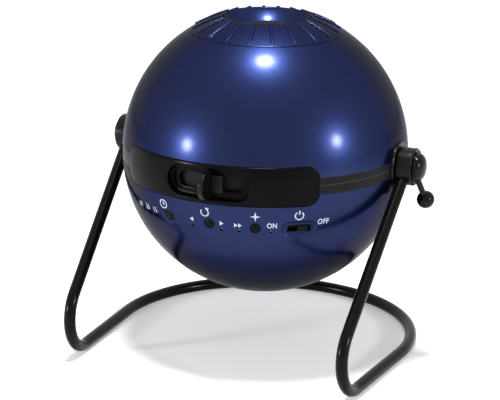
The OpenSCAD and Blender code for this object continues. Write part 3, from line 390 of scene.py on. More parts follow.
def outward(at):
    """The ball's outward direction at (angle from the front p, latitude l) in degrees,
    (cos l sin p, -cos l cos p, sin l), with the directions to the right and upwards there."""
    p, l = rad(at[0]), rad(at[1])
    n = np.array([math.cos(l) * math.sin(p), -math.cos(l) * math.cos(p), math.sin(l)])
    ex = np.array([math.cos(p), math.sin(p), 0])
    return n, ex, np.cross(n, ex)


def local(P, at):
    """Puts (x right, y up, z outward) points at a place on the ball."""
    n, ex, ey = outward(at)
    P = np.asarray(P, float)
    return P[:, :1] * ex + P[:, 1:2] * ey + P[:, 2:3] * n + [0, 0, PZ]


def loft(rings, cap_first=False, cap_last=False):
    """A closed skin: point (i, j) is the j-th point of the i-th ring, joined to its neighbours.
    A cap is a fan from the ring's mean, or from the point that is given for it."""
    A = np.stack(rings)
    a, b = A.shape[:2]
    V, F = A.reshape(-1, 3), [quads(a, b, False, True)]
    k = np.arange(b)
    for cap, base in ((cap_first, 0), (cap_last, (a - 1) * b)):
        if cap is not False:
            centre = V[base:base + b].mean(0) if cap is True else np.array(cap, float)
            V = np.concatenate([V, [centre]])
            F.append(np.stack([base + k, base + (k + 1) % b, np.full(b, len(V) - 1)], -1))
    return build(V, F)


def cut(me, cutters):
    """Takes the cutters' volumes off the mesh and returns what is left."""
    o = bpy.data.objects.new("tmp", me)
    bpy.context.scene.collection.objects.link(o)
    c = bpy.data.objects.new("tmp_cut", cutters)
    bpy.context.scene.collection.objects.link(c)
    m = o.modifiers.new("b", "BOOLEAN")
    m.operation, m.solver, m.object = "DIFFERENCE", "EXACT", c
    m.use_self = True
    dg = bpy.context.evaluated_depsgraph_get()
    out = bpy.data.meshes.new_from_object(o.evaluated_get(dg))
    bpy.data.objects.remove(o)
    bpy.data.objects.remove(c)
    return out


def cylinder(p0, p1, r, n=48):
    """A closed cylinder between two points: rings p + r (cos a u + sin a v), u and v square
    to the axis."""
    p0, p1 = np.array(p0, float), np.array(p1, float)
    d = (p1 - p0) / np.linalg.norm(p1 - p0)
    u = np.cross(d, [0.31, 0.52, 0.79])
    u /= np.linalg.norm(u)
    v = np.cross(d, u)
    a = (np.arange(n) * 2 * math.pi / n)[:, None]
    ring = r * (np.cos(a) * u + np.sin(a) * v)
    return loft([p0 + ring, p1 + ring], True, True)


C0 = np.array([0, 0, PZ])


# ---------- the two painted shells ----------

def surface_radius(D):
    """Radius of the painted surface in the directions D (unit rows): the ball with its dishes.
    A dish is a ball of radius b whose centre lies q out along n: in direction D its near side is
    at q c - sqrt(b^2 - q^2 (1 - c^2)), c = D.n. It is blended with the ball over 0.28 mm. The
    slider's flat is the plane (R0 - 1) / (D.n) inside a stadium, faded in by 3w^2 - 2w^3."""
    r = np.full(len(D), R0)
    for at in BUTTONS.values():
        n = outward(at)[0]
        ca = D @ n
        sa2 = np.maximum(1 - ca * ca, 0)
        q, br, soft_w = R0 + 8.6, 9.5, 0.28
        near = (ca > 0.99) & (br * br - q * q * sa2 > 0)
        dish = np.where(near, q * ca - np.sqrt(np.maximum(br * br - q * q * sa2, 0)), R0 + 9)
        h = np.clip(0.5 + 0.5 * (R0 - dish) / soft_w, 0, 1)
        soft = R0 * (1 - h) + np.where(near, dish, R0) * h - soft_w * h * (1 - h)
        r = np.where(near, np.minimum(soft, r), r)
    n, ex, ey = outward(POWER)
    dz = np.maximum(D @ n, 1e-6)
    x, y = (D @ ex) / dz * R0, (D @ ey) / dz * R0
    dist = np.hypot(np.maximum(np.abs(x) - 4.2, 0), y) - 3.8
    w = np.clip(-(dist - 0.3) / 0.75, 0, 1)
    w = w * w * (3 - 2 * w)
    w = np.where(D @ n > 0.97, w, 0)
    return r * (1 - w) + w * np.minimum(R0, (R0 - 1.0) / dz)


def spread(lo, hi, step, dense, fine):
    """Values from lo to hi, closer together in the dense stretch."""
    return np.unique(np.round(np.concatenate([
        np.arange(lo, dense[0], step), np.arange(dense[0], dense[1], fine),
        np.arange(dense[1], hi, step), [hi]]), 4))


def radial_normals(me, tol=0.004):
    """Gives the painted outside the ball's own normals, so that cuts leave no shading marks:
    the cross product of two small steps along the surface radius(D) D, square to D."""
    nv, nl = len(me.vertices), len(me.loops)
    co = np.zeros(nv * 3, np.float32)
    me.vertices.foreach_get("co", co)
    P = co.reshape(-1, 3).astype(float) * 1000 - C0
    length = np.linalg.norm(P, axis=1)
    D = P / length[:, None]
    on = np.abs(length - surface_radius(D)) < tol
    eps = 2e-3
    t1 = np.cross(D, [0.12, 0.2, 0.97])
    t1 /= np.linalg.norm(t1, axis=1)[:, None]
    t2 = np.cross(D, t1)

    def at(Q):
        Q = Q / np.linalg.norm(Q, axis=1)[:, None]
        return Q * surface_radius(Q)[:, None]
    N = np.cross(at(D + eps * t1) - at(D - eps * t1), at(D + eps * t2) - at(D - eps * t2))
    N /= np.linalg.norm(N, axis=1)[:, None]
    N *= np.sign((N * D).sum(1))[:, None]
    vi = np.zeros(nl, np.int32)
    me.loops.foreach_get("vertex_index", vi)
    start, total = np.zeros(len(me.polygons), np.int32), np.zeros(len(me.polygons), np.int32)
    me.polygons.foreach_get("loop_start", start)
    me.polygons.foreach_get("loop_total", total)
    fn = np.zeros(len(me.polygons) * 3, np.float32)
    me.polygons.foreach_get("normal", fn)
    fn = fn.reshape(-1, 3)
    owner = np.repeat(np.arange(len(start)), total)
    order = np.argsort(start, kind="stable")
    all_on = np.minimum.reduceat(on[vi].astype(np.int8), start[order])
    facing = (fn * D[vi[start]]).sum(1)
    ok = np.zeros(len(start), bool)
    ok[order] = all_on > 0
    ok &= facing > 0.5
    cn = np.zeros(nl * 3, np.float32)
    me.corner_normals.foreach_get("vector", cn)
    cn = cn.reshape(-1, 3)
    cn = np.where(ok[owner][:, None], N[vi], cn)
    me.normals_split_custom_set(cn.tolist())


PHIS = np.radians(spread(-180, 180, 2.5, (-45, 50), 0.4)[:-1] - 90)
FRONT_LAT = spread(-90, math.degrees(math.asin(-BAND / R0)), 2.5, (-24.5, -11), 0.4)


def panel_cutter():
    """The panel's opening: its rounded outline, arc length R0 phi by height z, on two spheres."""
    c = rrect(PANEL_HALF * R0 + PANEL_GAP, PANEL_H + PANEL_GAP, PANEL_CORNER + PANEL_GAP)
    rings = [on_sphere(c[:, 0] / R0, c[:, 1], r) + C0 for r in (57.0, 80.0)]
    return loft(rings, C0 + [0, -50, 0], C0 + [0, -80, 0])


def boss_cutters():
    """The seats of the two side bosses: a wide shallow and a narrow deep cylinder on each side."""
    out = []
    for s in (-1, 1):
        out += [cylinder([s * 66.4, 0, PZ], [s * 76, 0, PZ], BOSS_R, 64),
                cylinder([s * 58, 0, PZ], [s * 75, 0, PZ], BORE_R, 64)]
    return out


def upper_shell():
    """The upper shell: the rows (R0 cos l, R0 sin l) outside and the same times R_IN / R0 inside,
    joined by rounded rims at the band and at the ring's seat, turned, then cut."""
    lat = np.radians(spread(math.degrees(math.asin(BAND / R0)) + 0.25,
                            90 - math.degrees(math.acos(SEAT_Z / R0)) - 0.3, 2.0, (3, 4), 0.5))
    outer = np.stack([R0 * np.cos(lat), R0 * np.sin(lat)], -1)
    inner = outer[::-1] * (R_IN / R0)
    prof = np.concatenate([[[rho(R0, BAND) - 0.25, BAND]], [[rho(R0, BAND) - 0.07, BAND + 0.06]], outer,
                           [[rho(R0, SEAT_Z) - 0.1, SEAT_Z - 0.07], [rho(R0, SEAT_Z) - 0.35, SEAT_Z]],
                           [[rho(R_IN, SEAT_Z), SEAT_Z]], inner[inner[:, 1] < SEAT_Z - 0.5][1:-1],
                           [[rho(R_IN, BAND), BAND]]])
    P = revolve(prof, PHIS)
    me = build(P.reshape(-1, 3) + C0, quads(*P.shape[:2], True, True))
    me = cut(me, merged(panel_cutter(), *boss_cutters()))
    o = piece("upper_shell_skin", me, "ball", BLUE, "blue_paint", "upper_shell")
    radial_normals(me)
    return o


def lower_shell():
    """The lower shell: the same kind of rows down to a pole, its outside moved to the painted
    surface's radius, then cut for the panel, bosses, controls, screw wells and plug."""
    lat = np.radians(FRONT_LAT[1:])
    outer = np.stack([R0 * np.cos(lat), R0 * np.sin(lat)], -1)[:-1]
    inner_lat = np.radians(np.linspace(math.degrees(math.asin(-BAND / R_IN)), -87, 34))
    inner = np.stack([R_IN * np.cos(inner_lat), R_IN * np.sin(inner_lat)], -1)
    prof = np.concatenate([outer, [[rho(R0, BAND) - 0.07, -BAND - 0.06], [rho(R0, BAND) - 0.25, -BAND]],
                           inner])
    P = revolve(prof, PHIS)
    flat = P.reshape(-1, 3)
    k = len(outer) * len(PHIS)
    D = flat[:k] / np.linalg.norm(flat[:k], axis=1)[:, None]
    flat[:k] = D * surface_radius(D)[:, None]
    a, b = P.shape[:2]
    V = np.concatenate([flat, [[0, 0, -R0], [0, 0, -R_IN]]]) + C0
    j = np.arange(b)
    last = (a - 1) * b
    F = [quads(a, b, False, True), np.stack([j, (j + 1) % b, np.full(b, a * b)], -1),
         np.stack([last + j, last + (j + 1) % b, np.full(b, a * b + 1)], -1)]
    me = build(V, F)
    cutters = [panel_cutter(), *boss_cutters()]
    below, above = 55, 75  # every cutter starts inside the shell and ends outside the ball
    for places, r, sides in ((BUTTONS.values(), BUTTON_BORE, 48), (LEDS, LED_BORE, 24)):
        for at in places:
            n = outward(at)[0]
            cutters.append(cylinder(C0 + below * n, C0 + above * n, r, sides))
    slot = rrect(5.4, 1.7, 0.25, 4, 3)
    cutters.append(loft([local(np.c_[slot, np.full(len(slot), z)], POWER) for z in (below, above)],
                        True, True))
    for x, y in POSTS:
        cutters.append(cylinder([x, y, PZ - above], [x, y, PZ - 30], WELL_R))
    cutters.append(cylinder([0, 53, PZ + SOCKET_Z], [0, above, PZ + SOCKET_Z], PLUG_R, 64))
    me = cut(me, merged(*cutters))
    o = piece("lower_shell_skin", me, "ball", BLUE, "blue_paint", "lower_shell")
    radial_normals(me)
    return o


def well(i, x, y):
    """The inside of a screw well: rings of radius r about (x, y), at a height z or on a ball of
    radius `reach`, z = -sqrt(reach^2 - x^2 - y^2), so that the mouth follows the shell."""
    a = np.arange(48) * 2 * math.pi / 48
    c, s = np.cos(a), np.sin(a)

    def ring(r, z=None, reach=None):
        px, py = x + r * c, y + r * s
        pz = np.full(48, z) if z is not None else -np.sqrt(reach ** 2 - px ** 2 - py ** 2)
        return np.stack([px, py, pz], -1) + C0
    r = WELL_R - 0.05
    rings = [ring(r, reach=67.7), ring(r, reach=64), ring(r, -28.3), ring(3.3, -28), ring(1.6, -28),
             ring(1.6, -26), ring(4.6, -26), ring(5, -26.4), ring(5, reach=66.2), ring(r, reach=67.7)]
    return piece("screw_well_%d" % i, loft(rings), "ball", BLUE, "blue_paint")


def plug_recess():
    """The cup round the plug at the back: rings of radius r about the socket's axis, at a depth y
    or on a ball of radius `reach`, y = sqrt(reach^2 - x^2 - z^2)."""
    def ring(r, y=None, reach=None, n=72):
        a = np.arange(n) * 2 * math.pi / n
        px, pz = r * np.cos(a), SOCKET_Z + r * np.sin(a)
        py = np.full(n, y) if y is not None else np.sqrt(reach ** 2 - px ** 2 - pz ** 2)
        return np.stack([px, py, pz], -1) + C0
    r = PLUG_R - 0.05
    rings = [ring(r, reach=67.7), ring(r, 58.2), ring(8.25, 57.8), ring(5.9, 57.8), ring(5.5, 57.4),
             ring(5.5, 53.8), ring(9.8, 53.8), ring(9.9, reach=66.2), ring(r, reach=67.7)]
    return piece("plug_recess", loft(rings), "ball", BLUE, "blue_paint")


# ---------- the ribbed ring ----------

def lens_ring():
    """The ribbed ring. Its top is the ball itself, its bowl the circle z = dish_z - sqrt(dish_r^2
    - r^2), with a rounded lip between. Twenty ribs rise by 0.62 sqrt(1 - (1 - w)^2): w falls from
    1 to 0 over the distance d = hypot(across the rib, past its lower end), so the ends are round."""
    ribs, rib_h, rib_half_w, rib_edge = 20, 0.62, 0.80, 0.42
    edge = np.array([0, .25, .5, .72, .86, .95, 1.0, 1.05, 1.14, 1.28, 1.5, 1.75])
    half = 0.75 / 29  # half a rib's angle at mid radius
    cell = np.concatenate([-edge[::-1] * half, edge[1:] * half])
    rest = np.linspace(edge[-1] * half, 2 * math.pi / ribs - edge[-1] * half, 6)[1:-1]
    cell = np.concatenate([cell, rest])
    phis = np.concatenate([cell + (k + 0.5) * 2 * math.pi / ribs for k in range(ribs)]) - math.pi / 2
    open_r, dish_r, dish_z = 21.2, 26.0, 79.24
    z_out = SEAT_Z + 0.12
    th = np.radians(np.unique(np.concatenate([np.linspace(32.15, 30.2, 12), np.linspace(30.2, 19.9, 22),
                                              np.linspace(19.9, 18.55, 10)])))[::-1]
    top = np.stack([R0 * np.sin(th), R0 * np.cos(th)], -1)
    corner = np.array([open_r, rho(R0, open_r) - 0.05])
    g = np.arange(15.15, open_r - 0.45, 0.5)[::-1]
    bowl = np.stack([g, dish_z - np.sqrt(dish_r ** 2 - g ** 2)], -1)
    lip = fillet([top[-1], corner, bowl[0]], [0.55], 7)[1:-1]
    under = [[15.15, 56.3], [20, 60.2], [20.6, 61.8], [33.6, 55.6], [33.9, 53.4], [34.9, 53.6],
             [rho(R0, z_out) - 0.6, z_out - 0.35], [rho(R0, z_out) - 0.38, z_out]]
    prof = np.concatenate([top, lip, bowl, under, [[rho(R0, z_out) - 0.1, z_out + 0.04]]])
    P = revolve(prof, phis)
    # the ribs rise on the top face only
    m, n = P.shape[:2]
    off = (((phis + math.pi / 2) / (2 * math.pi / ribs)) % 1 - 0.5) * 2 * math.pi / ribs
    r_all = prof[:, 0][:, None]
    x = off[None, :] * np.maximum(r_all, 15)
    s = R0 * np.arctan2(prof[:, 0], prof[:, 1])[:, None]
    lower_end = R0 * rad(30.9) - 0.75
    d = np.hypot(x, np.maximum(s - lower_end, 0))
    w = np.clip((rib_half_w - d) / rib_edge, 0, 1)
    h = rib_h * np.sqrt(1 - (1 - w) ** 2) * (np.arange(m)[:, None] < len(top))
    D = P / np.linalg.norm(P, axis=2, keepdims=True)
    P = P + D * h[..., None]
    me = build(P.reshape(-1, 3) + C0, quads(m, n, True, True))
    return piece("ribbed_ring", me, "ball", BLUE, "blue_paint", "lens_ring", sharp=60)


# ---------- bezel, band, bosses ----------

def bezel():
    """The dark ring round the lens: a rounded profile, turned."""
    prof = fillet([[8.6, 57.2], [8.6, 57.55], [9.5, 59.0], [14.75, 59.1], [15.0, 57.0], [8.6, 57.0]],
                  [0.1, 0.25, 0.35, 0.1], 5)
    turned("lens_bezel_skin", prof, "ball", MATT, "matt_black", "lens_bezel", closed=True)


def band(name, s):
    """One half of the dark band, s = 1 above or -1 below: the profile r = sqrt(67.74^2 - z^2) with
    rounded edges, turned between the panel's ends and the bosses."""
    r_band, z0, z1 = 67.74, 0.11, 3.9
    z = np.linspace(z0 + 0.16, z1 - 0.12, 9)
    outer = np.stack([np.sqrt(r_band ** 2 - z * z), z], -1)
    prof = np.concatenate([[[67.2, z0]], [[67.6, z0 + 0.02]], outer, [[67.5, z1 - 0.02], [67.2, z1]]])
    prof[:, 1] *= s
    half = PANEL_HALF + 0.35 / R0
    hub = math.asin(11.15 / 67.7)
    arcs = []
    for a0, a1 in ((-math.pi / 2 + half, -hub), (hub, math.pi - hub),
                   (math.pi + hub, 1.5 * math.pi - half)):
        P = revolve(prof, np.linspace(a0, a1, 96)).transpose(1, 0, 2)
        arcs.append(loft(list(P + C0), True, True))
    piece(name, merged(*arcs), "ball", BANDM, "charcoal", sharp=45)


def bosses():
    """The round bosses at the sides: a rounded profile, turned round the tilt axis."""
    prof = fillet([[2.95, 59], [2.95, 68.3], [10.5, 68.3], [11, 67.9], [11, 66.4], [8.6, 66.4],
                   [8.6, 61], [9.8, 61], [9.8, 59], [2.95, 59]], [0, 0.25, 0.35, 0.2, 0, 0, 0.3, 0.3], 5)
    for side, name in (("x", "right_boss"), ("-x", "left_boss")):
        turned(name + "_skin", prof, "ball", HUB, "hub_black", name, axis=side, closed=True)


# ---------- stand ----------

def rod_path():
    """The rod's centre line: a straight leg from the hub, a bend of radius BEND_R in the plane of
    leg and foot, the foot, and the rear arc (REAR_R cos t, REAR_Y + REAR_R sin t), which the feet
    meet at the angle FOOT_TOE; mirrored for the other side."""
    foot = np.array([math.sin(FOOT_TOE), math.cos(FOOT_TOE), 0])
    end = np.array([REAR_R * math.cos(FOOT_TOE), REAR_Y - REAR_R * math.sin(FOOT_TOE), ROD_R])
    corner = np.array([end[0] + (CORNER_Y - end[1]) * math.tan(FOOT_TOE), CORNER_Y, ROD_R])
    top = np.array([LEG_X, 0, PZ])
    leg = (corner - top) / np.linalg.norm(corner - top)
    ang = math.acos(-leg @ foot)
    reach = BEND_R / math.tan(ang / 2)
    p0, p1 = corner - leg * reach, corner + foot * reach
    bis = (foot - leg) / np.linalg.norm(foot - leg)
    c = corner + bis * BEND_R / math.sin(ang / 2)
    u, v = (p0 - c) / BEND_R, (p1 - c) / BEND_R
    w = math.acos(u @ v)
    k = np.linspace(0, 1, 30)[:, None]
    arc = c + BEND_R * (np.sin((1 - k) * w) * u + np.sin(k * w) * v) / math.sin(w)

    def line(a, b):
        return a + (b - a) * np.linspace(0, 1, 14)[:-1, None]
    half = np.concatenate([line(top + leg * 4.5, p0), arc, line(p1, end)[1:]])
    t = np.linspace(-FOOT_TOE, math.pi + FOOT_TOE, 120)
    rear = np.stack([REAR_R * np.cos(t), REAR_Y + REAR_R * np.sin(t), np.full(len(t), ROD_R)], -1)
    return np.concatenate([half, rear, half[::-1] * [-1, 1, 1]])


def tube(path, r, n=40, ref=(1, 0, 1)):
    """A round bar along a path: circles r (cos a u + sin a v) square to the path's direction t,
    with u = t x ref and v = t x u."""
    t = np.gradient(path, axis=0)
    t /= np.linalg.norm(t, axis=1)[:, None]
    u = np.cross(t, np.array(ref, float))
    u /= np.linalg.norm(u, axis=1)[:, None]
    v = np.cross(t, u)
    a = np.arange(n) * 2 * math.pi / n
    r = np.broadcast_to(np.asarray(r, float), (len(path),))
    c, s = np.cos(a)[None, :, None], np.sin(a)[None, :, None]
    P = path[:, None] + r[:, None, None] * (c * u[:, None] + s * v[:, None])
    return loft(list(P), True, True)


def stand():
    """The rod, the two hubs and the left axle's cap: turned round the tilt axis."""
    piece("rod", tube(rod_path(), ROD_R), "stand", ROD, "rod_black", "stand_frame")
    prof = fillet([[2.95, 68.6], [2.95, 75.9], [6.9, 75.9], [7.3, 75.6], [7.6, 76], [8.4, 76],
                   [8.85, 75.4], [8.85, 69], [8.5, 68.6], [2.95, 68.6]],
                  [0, 0, 0.12, 0.12, 0.3, 0.3, 0.2, 0.2], 5)
    for side, name in (("x", "right_hub"), ("-x", "left_hub")):
        turned(name + "_skin", prof, "stand", HUB, "hub_black", name, axis=side, closed=True, n=128)
    cap = fillet([[0, 57], [2.9, 57], [2.9, 76], [6.6, 76], [7, 76.35], [6.3, 77.3], [3, 78.1],
                  [0, 78.2]],
                 [0.3, 0, 0.1, 0.3, 1.2, 3], 6)
    turned("left_axle_skin", cap, "stand", HUB, "dark_steel", "left_axle", axis="-x")


def clamp():
    """The clamp's domed knob, rising as sin^1.84 towards (0, 3.5 mm), and its lever: a straight
    bar with a ball at the end."""
    k = np.linspace(0, 1, 16)[1:]
    dome = np.stack([6.55 * np.cos(k * math.pi / 2), 77.05 + 3.5 * np.sin(k * math.pi / 2) ** 0.92], -1)
    dome[-1, 0] = 0
    skirt = fillet([[0, 76.15], [6.8, 76.15], [7.3, 76.5], [7.2, 76.95], [6.75, 77.05], [6.55, 77.1]],
                   [0.15, 0.2, 0.2, 0.1], 5)
    prof = np.concatenate([skirt, dome])
    turned("clamp_knob_skin", prof, "clamp", GLOSS, "gloss_black", "clamp_knob", axis="x")
    root, tip = np.array([77.5, -2.2, -5]), np.array([79.4, 5, -16.46])
    s = np.linspace(0, 1, 24)
    path = root + (tip - root) * s[:, None] + C0
    arm = tube(path, 1.42, 32, ref=(1, 0, 0))
    a = np.linspace(0, math.pi, 33)
    ball = revolve(4.2 * np.stack([np.sin(a), -np.cos(a)], -1), n=48)
    ball_me = build(ball.reshape(-1, 3) + tip + C0, quads(*ball.shape[:2], False, True))
    piece("clamp_lever_skin", merged(arm, ball_me), "clamp", GLOSS, "gloss_black", "clamp_lever")


# ---------- front panel, knob ----------

def front_panel():
    """The panel: closed rings from its back edge over a rounded edge (quarter circle of radius
    rnd) across the face to the recess's lip (quarter circle of 0.55 mm), down a wall that blends
    from the lip to the floor, and over a fillet `fil` onto a floor that is a cylinder of radius
    floor_r round the ball's upright axis, y = -sqrt(r^2 - x^2)."""
    rings = []

    def arc_ring(inset, r):
        c = rrect(PANEL_HALF * R_PANEL - inset, PANEL_H - inset, PANEL_CORNER - inset)
        return c[:, 0] / R_PANEL, c[:, 1], np.full(len(c), r)

    def lip_ring(hw, hh, r):
        c = rrect(hw, hh, hh)
        return np.arcsin(c[:, 0] / np.sqrt(r * r - c[:, 1] ** 2)), c[:, 1], np.full(len(c), r)

    def floor_ring(hw, hh, r):
        c = rrect(hw, hh, hh)
        return np.stack([c[:, 0], -np.sqrt(r * r - c[:, 0] ** 2), c[:, 1]], -1)
    rnd, lip = 0.6, 0.55
    rings.append(arc_ring(0, R_PANEL - PANEL_T))
    rings.append(arc_ring(0, R_PANEL - rnd))
    for a in np.linspace(0, math.pi / 2, 7)[1:]:
        rings.append(arc_ring(rnd * (1 - math.cos(a)), R_PANEL - rnd + rnd * math.sin(a)))
    start, end = rings[-1], lip_ring(LIP_W + lip, LIP_H + lip, R_PANEL)
    for s in np.linspace(0, 1, 18)[1:]:
        rings.append(tuple(a * (1 - s) + b * s for a, b in zip(start, end)))
    for a in np.linspace(0, math.pi / 2, 7)[1:]:
        k = lip * (1 - math.sin(a))
        rings.append(lip_ring(LIP_W + k, LIP_H + k, R_PANEL - lip * (1 - math.cos(a))))
    pts = [on_sphere(p, z, r) for p, z, r in rings]
    wall = pts[-1]
    fil, draft = 1.3, 0.15
    deep = floor_ring(LIP_W - draft, LIP_H - draft, FLOOR_R + fil)
    for s in (0.35, 0.7, 1):
        pts.append(wall * (1 - s) + deep * s)
    for a in np.linspace(0, math.pi / 2, 7)[1:]:
        k = draft + fil * (1 - math.cos(a))
        pts.append(floor_ring(LIP_W - k, LIP_H - k, FLOOR_R + fil * (1 - math.sin(a))))
    # across the floor, through the slot, and round the back of the cup
    for hw, hh, below in ((17.4, 5.0, 0), (16.15, 3.9, 0), (15.9, 3.68, 0.08), (15.8, 3.6, 0.3),
                          (15.8, 3.6, 1.5), (20, 8.2, 1.5), (22.0, 8.6, 1.5), (22.1, 8.7, 1.3),
                          (22.1, 8.7, -0.4)):
        pts.append(floor_ring(hw, hh, FLOOR_R - below))
    inner = rrect(PANEL_HALF * R_PANEL, PANEL_H, PANEL_CORNER)
    c2 = rrect(22.1, 8.7, 8.7)
    r_back = R_PANEL - PANEL_T
    phi2 = np.arcsin(c2[:, 0] / np.sqrt(r_back ** 2 - c2[:, 1] ** 2))
    for s in np.linspace(0, 1, 12):
        pts.append(on_sphere(phi2 * (1 - s) + inner[:, 0] / R_PANEL * s,
                             c2[:, 1] * (1 - s) + inner[:, 1] * s, r_back))
    A = np.stack(pts) + C0
    me = build(A.reshape(-1, 3), quads(*A.shape[:2], False, True))
    piece("front_panel_skin", me, "tray", PANEL, "gloss_black", "front_panel", sharp=50)


def focus_knob():
    """A low block on the recess's floor with fine upright ribs, and a half-round fin across it.
    Block: rounded rectangles in (x, z) laid on cylinders of radius R round the ball's axis.
    Fin: the outline of a bar with a round end, in (y, z), carried along x with rounded edges."""
    block_w, block_h, block_x = 5.3, 4.1, 1.7  # half sizes, and the middle's x
    fin_r, fin_y, root_y = 6.3, -71.2, -65.0   # the round end and its centre, and the fin's root
    rib_r, rib_half, rib_y = 0.22, 3.7, 66.36

    def on_floor(inset, r, k=1.0):
        c = rrect((block_w - inset) * k, (block_h - inset) * k, 0.5 * k)
        x = c[:, 0] + block_x
        return np.stack([x, -np.sqrt(r * r - x * x), c[:, 1]], -1) + C0
    rings = [on_floor(i, r) for i, r in ((0.25, 64.95), (0.05, 65.05), (0, 65.3), (0, 66.1),
                                         (0.08, 66.28), (0.3, 66.38))]
    rings += [on_floor(0.3, 66.4, k) for k in (0.85, 0.65, 0.45, 0.25, 0.03)]
    parts = [loft(rings, True, True)]

    def fin(inset, x):
        q = fin_r - inset
        a = np.linspace(-math.pi / 2, -1.5 * math.pi, 40)
        round_end = np.stack([fin_y + q * np.cos(a), q * np.sin(a)], -1)
        back = np.linspace(fin_y, root_y, 8)[1:]
        top = np.stack([back, np.full(7, q)], -1)
        root = np.stack([np.full(6, root_y), np.linspace(q, -q, 8)[1:-1]], -1)
        yz = np.concatenate([round_end, top, root, top[::-1] * [1, -1]])
        return np.stack([np.full(len(yz), x), yz[:, 0], yz[:, 1]], -1) + C0
    x0, x1, e = -0.1, 2.1, 0.4
    turn = np.linspace(0, math.pi / 2, 5)
    skin = [fin(e * (1 - math.sin(a)), x0 + e * (1 - math.cos(a))) for a in turn]
    skin += [fin(e * (1 - math.sin(a)), x1 - e * (1 - math.cos(a))) for a in turn[::-1]]
    parts.append(loft(skin, True, True))
    stem = rrect(2.55, 2.55, 0.3, 4, 3)
    parts.append(loft([np.stack([stem[:, 0], np.full(len(stem), y), stem[:, 1]], -1) + C0
                       for y in (-61.0, -65.4)], True, True))
    z = np.linspace(-rib_half, rib_half, 20)
    thick = rib_r * np.sqrt(np.clip(1 - (z / (rib_half + 0.05)) ** 12, 0.02, 1))
    for x in np.concatenate([np.arange(-3.1, -0.4, 0.75), np.arange(2.75, 6.8, 0.75)]):
        y = -rho(rib_y, x)
        path = np.stack([np.full(20, x), np.full(20, y), z], -1) + C0
        parts.append(tube(path, thick, 12, ref=(1, 0, 0)))
    piece("focus_knob_skin", merged(*parts), "focus", KNOB, "gloss_black", "focus_knob", sharp=50)


# ---------- buttons, slider, markings ----------

def buttons():
    """The push buttons: a rounded profile turned round the outward direction of each place."""
    for name, at in BUTTONS.items():
        prof = fillet([[0, 61.2], [1.8, 61.2], [2.4, 61.8], [3.5, 61.8], [3.6, 63], [2.4, 63.1],
                       [2.4, 67.35], [1.7, 67.72], [0, 67.8]], [0.1, 0, 0.1, 0.1, 0, 0.45, 0.8], 6)
        P = revolve(prof, n=56)
        me = build(local(P.reshape(-1, 3), at), quads(*P.shape[:2], False, True))
        piece(name + "_cap_skin", me, name + "_cap", BUTTON, "gloss_black", name + "_button")


def marks():
    """Plain numerals, ON, OFF and simple shapes, printed on the shell. Each is drawn flat as
    (x, y), put at n R0 + x ex + y ey and drawn back to the ball's surface along the radius."""
    lift, narrow = 0.035, 0.78  # print above the paint; letters narrowed

    def put(name, xy, F, at):
        n, ex, ey = outward(at)
        P = xy[:, :1] * ex + xy[:, 1:2] * ey + n * R0
        P = P / np.linalg.norm(P, axis=1)[:, None] * (R0 + lift) + C0
        me = bpy.data.meshes.new("m")
        me.from_pydata((P / 1000).tolist(), [], F)
        me.update()
        piece(name, me, "ball", PRINT, "board_white", sharp=0)

    def text(name, body, at, size, thick=0.024):
        c = bpy.data.curves.new("t", "FONT")
        c.body, c.size, c.offset, c.resolution_u = body, size, thick * size, 4
        c.align_x, c.align_y = "CENTER", "CENTER"
        c.space_character = 1.08
        o = bpy.data.objects.new("t", c)
        bpy.context.scene.collection.objects.link(o)
        me = bpy.data.meshes.new_from_object(o.evaluated_get(bpy.context.evaluated_depsgraph_get()))
        co = np.zeros(len(me.vertices) * 3, np.float32)
        me.vertices.foreach_get("co", co)
        bpy.data.objects.remove(o)
        put(name, co.reshape(-1, 3)[:, :2] * [narrow, 1.0], [list(p.vertices) for p in me.polygons],
            at)

    def shape(name, polys, at):
        V, F = [], []
        for p in polys:
            F.append(list(range(len(V), len(V) + len(p))))
            V += [tuple(q) for q in p]
        put(name, np.array(V, float), F, at)

    def arc(r0, r1, a0, a1, n):
        a = np.radians(np.linspace(a0, a1, n))
        for i in range(n - 1):
            yield [(r * math.cos(t), r * math.sin(t)) for r, t in
                   ((r0, a[i]), (r1, a[i]), (r1, a[i + 1]), (r0, a[i + 1]))]

    def bar(x0, y0, x1, y1, w):
        d = np.array([x1 - x0, y1 - y0])
        n = np.array([-d[1], d[0]]) / np.linalg.norm(d) * w / 2
        return [(x0 + n[0], y0 + n[1]), (x0 - n[0], y0 - n[1]),
                (x1 - n[0], y1 - n[1]), (x1 + n[0], y1 + n[1])]

    for word, a in (("60", -38.3), ("30", -32.7), ("15", -27.6)):
        text("numeral_" + word, word, (a, -15.8), 3.9, 0.008)
    text("word_on", "ON", (25.8, -15.7), 3.7)
    text("word_off", "OFF", (46.6, -14.9), 3.9)
    shape("mark_clock", [*arc(1.75, 2.3, 0, 360, 30), bar(0, -0.2, 0, 1.35, 0.5),
                         bar(-0.2, 0, 1.0, 0, 0.5)], (-21.2, -11.7))
    shape("mark_turn", [*arc(1.6, 2.15, -220, 60, 24), [(0.3, 2.5), (2.3, 2.2), (1.2, 0.75)]],
          (-1.2, -11.6))
    shape("mark_power", [*arc(1.65, 2.25, 125, 415, 26), bar(0, 0.5, 0, 2.6, 0.6)], (36.4, -11.5))
    shape("mark_left", [[(-1.2, 0), (0.7, 1.2), (0.7, -1.2)]], (-7.3, -15.4))
    shape("mark_right", [[(1.2, 0), (-0.7, 1.2), (-0.7, -1.2)]], (5.4, -15.6))
    shape("mark_fast", [[(0.1, 0), (-1.6, 1.2), (-1.6, -1.2)], [(2.0, 0), (0.3, 1.2), (0.3, -1.2)]],
          (12.1, -15.9))
    star = [(r * math.cos(t), r * math.sin(t))
            for r, t in zip((2.5, 0.7) * 4, np.arange(8) * math.pi / 4)]
    shape("mark_sparkle", [[(0, 0), star[i], star[(i + 1) % 8]] for i in range(8)], (19.2, -11.8))


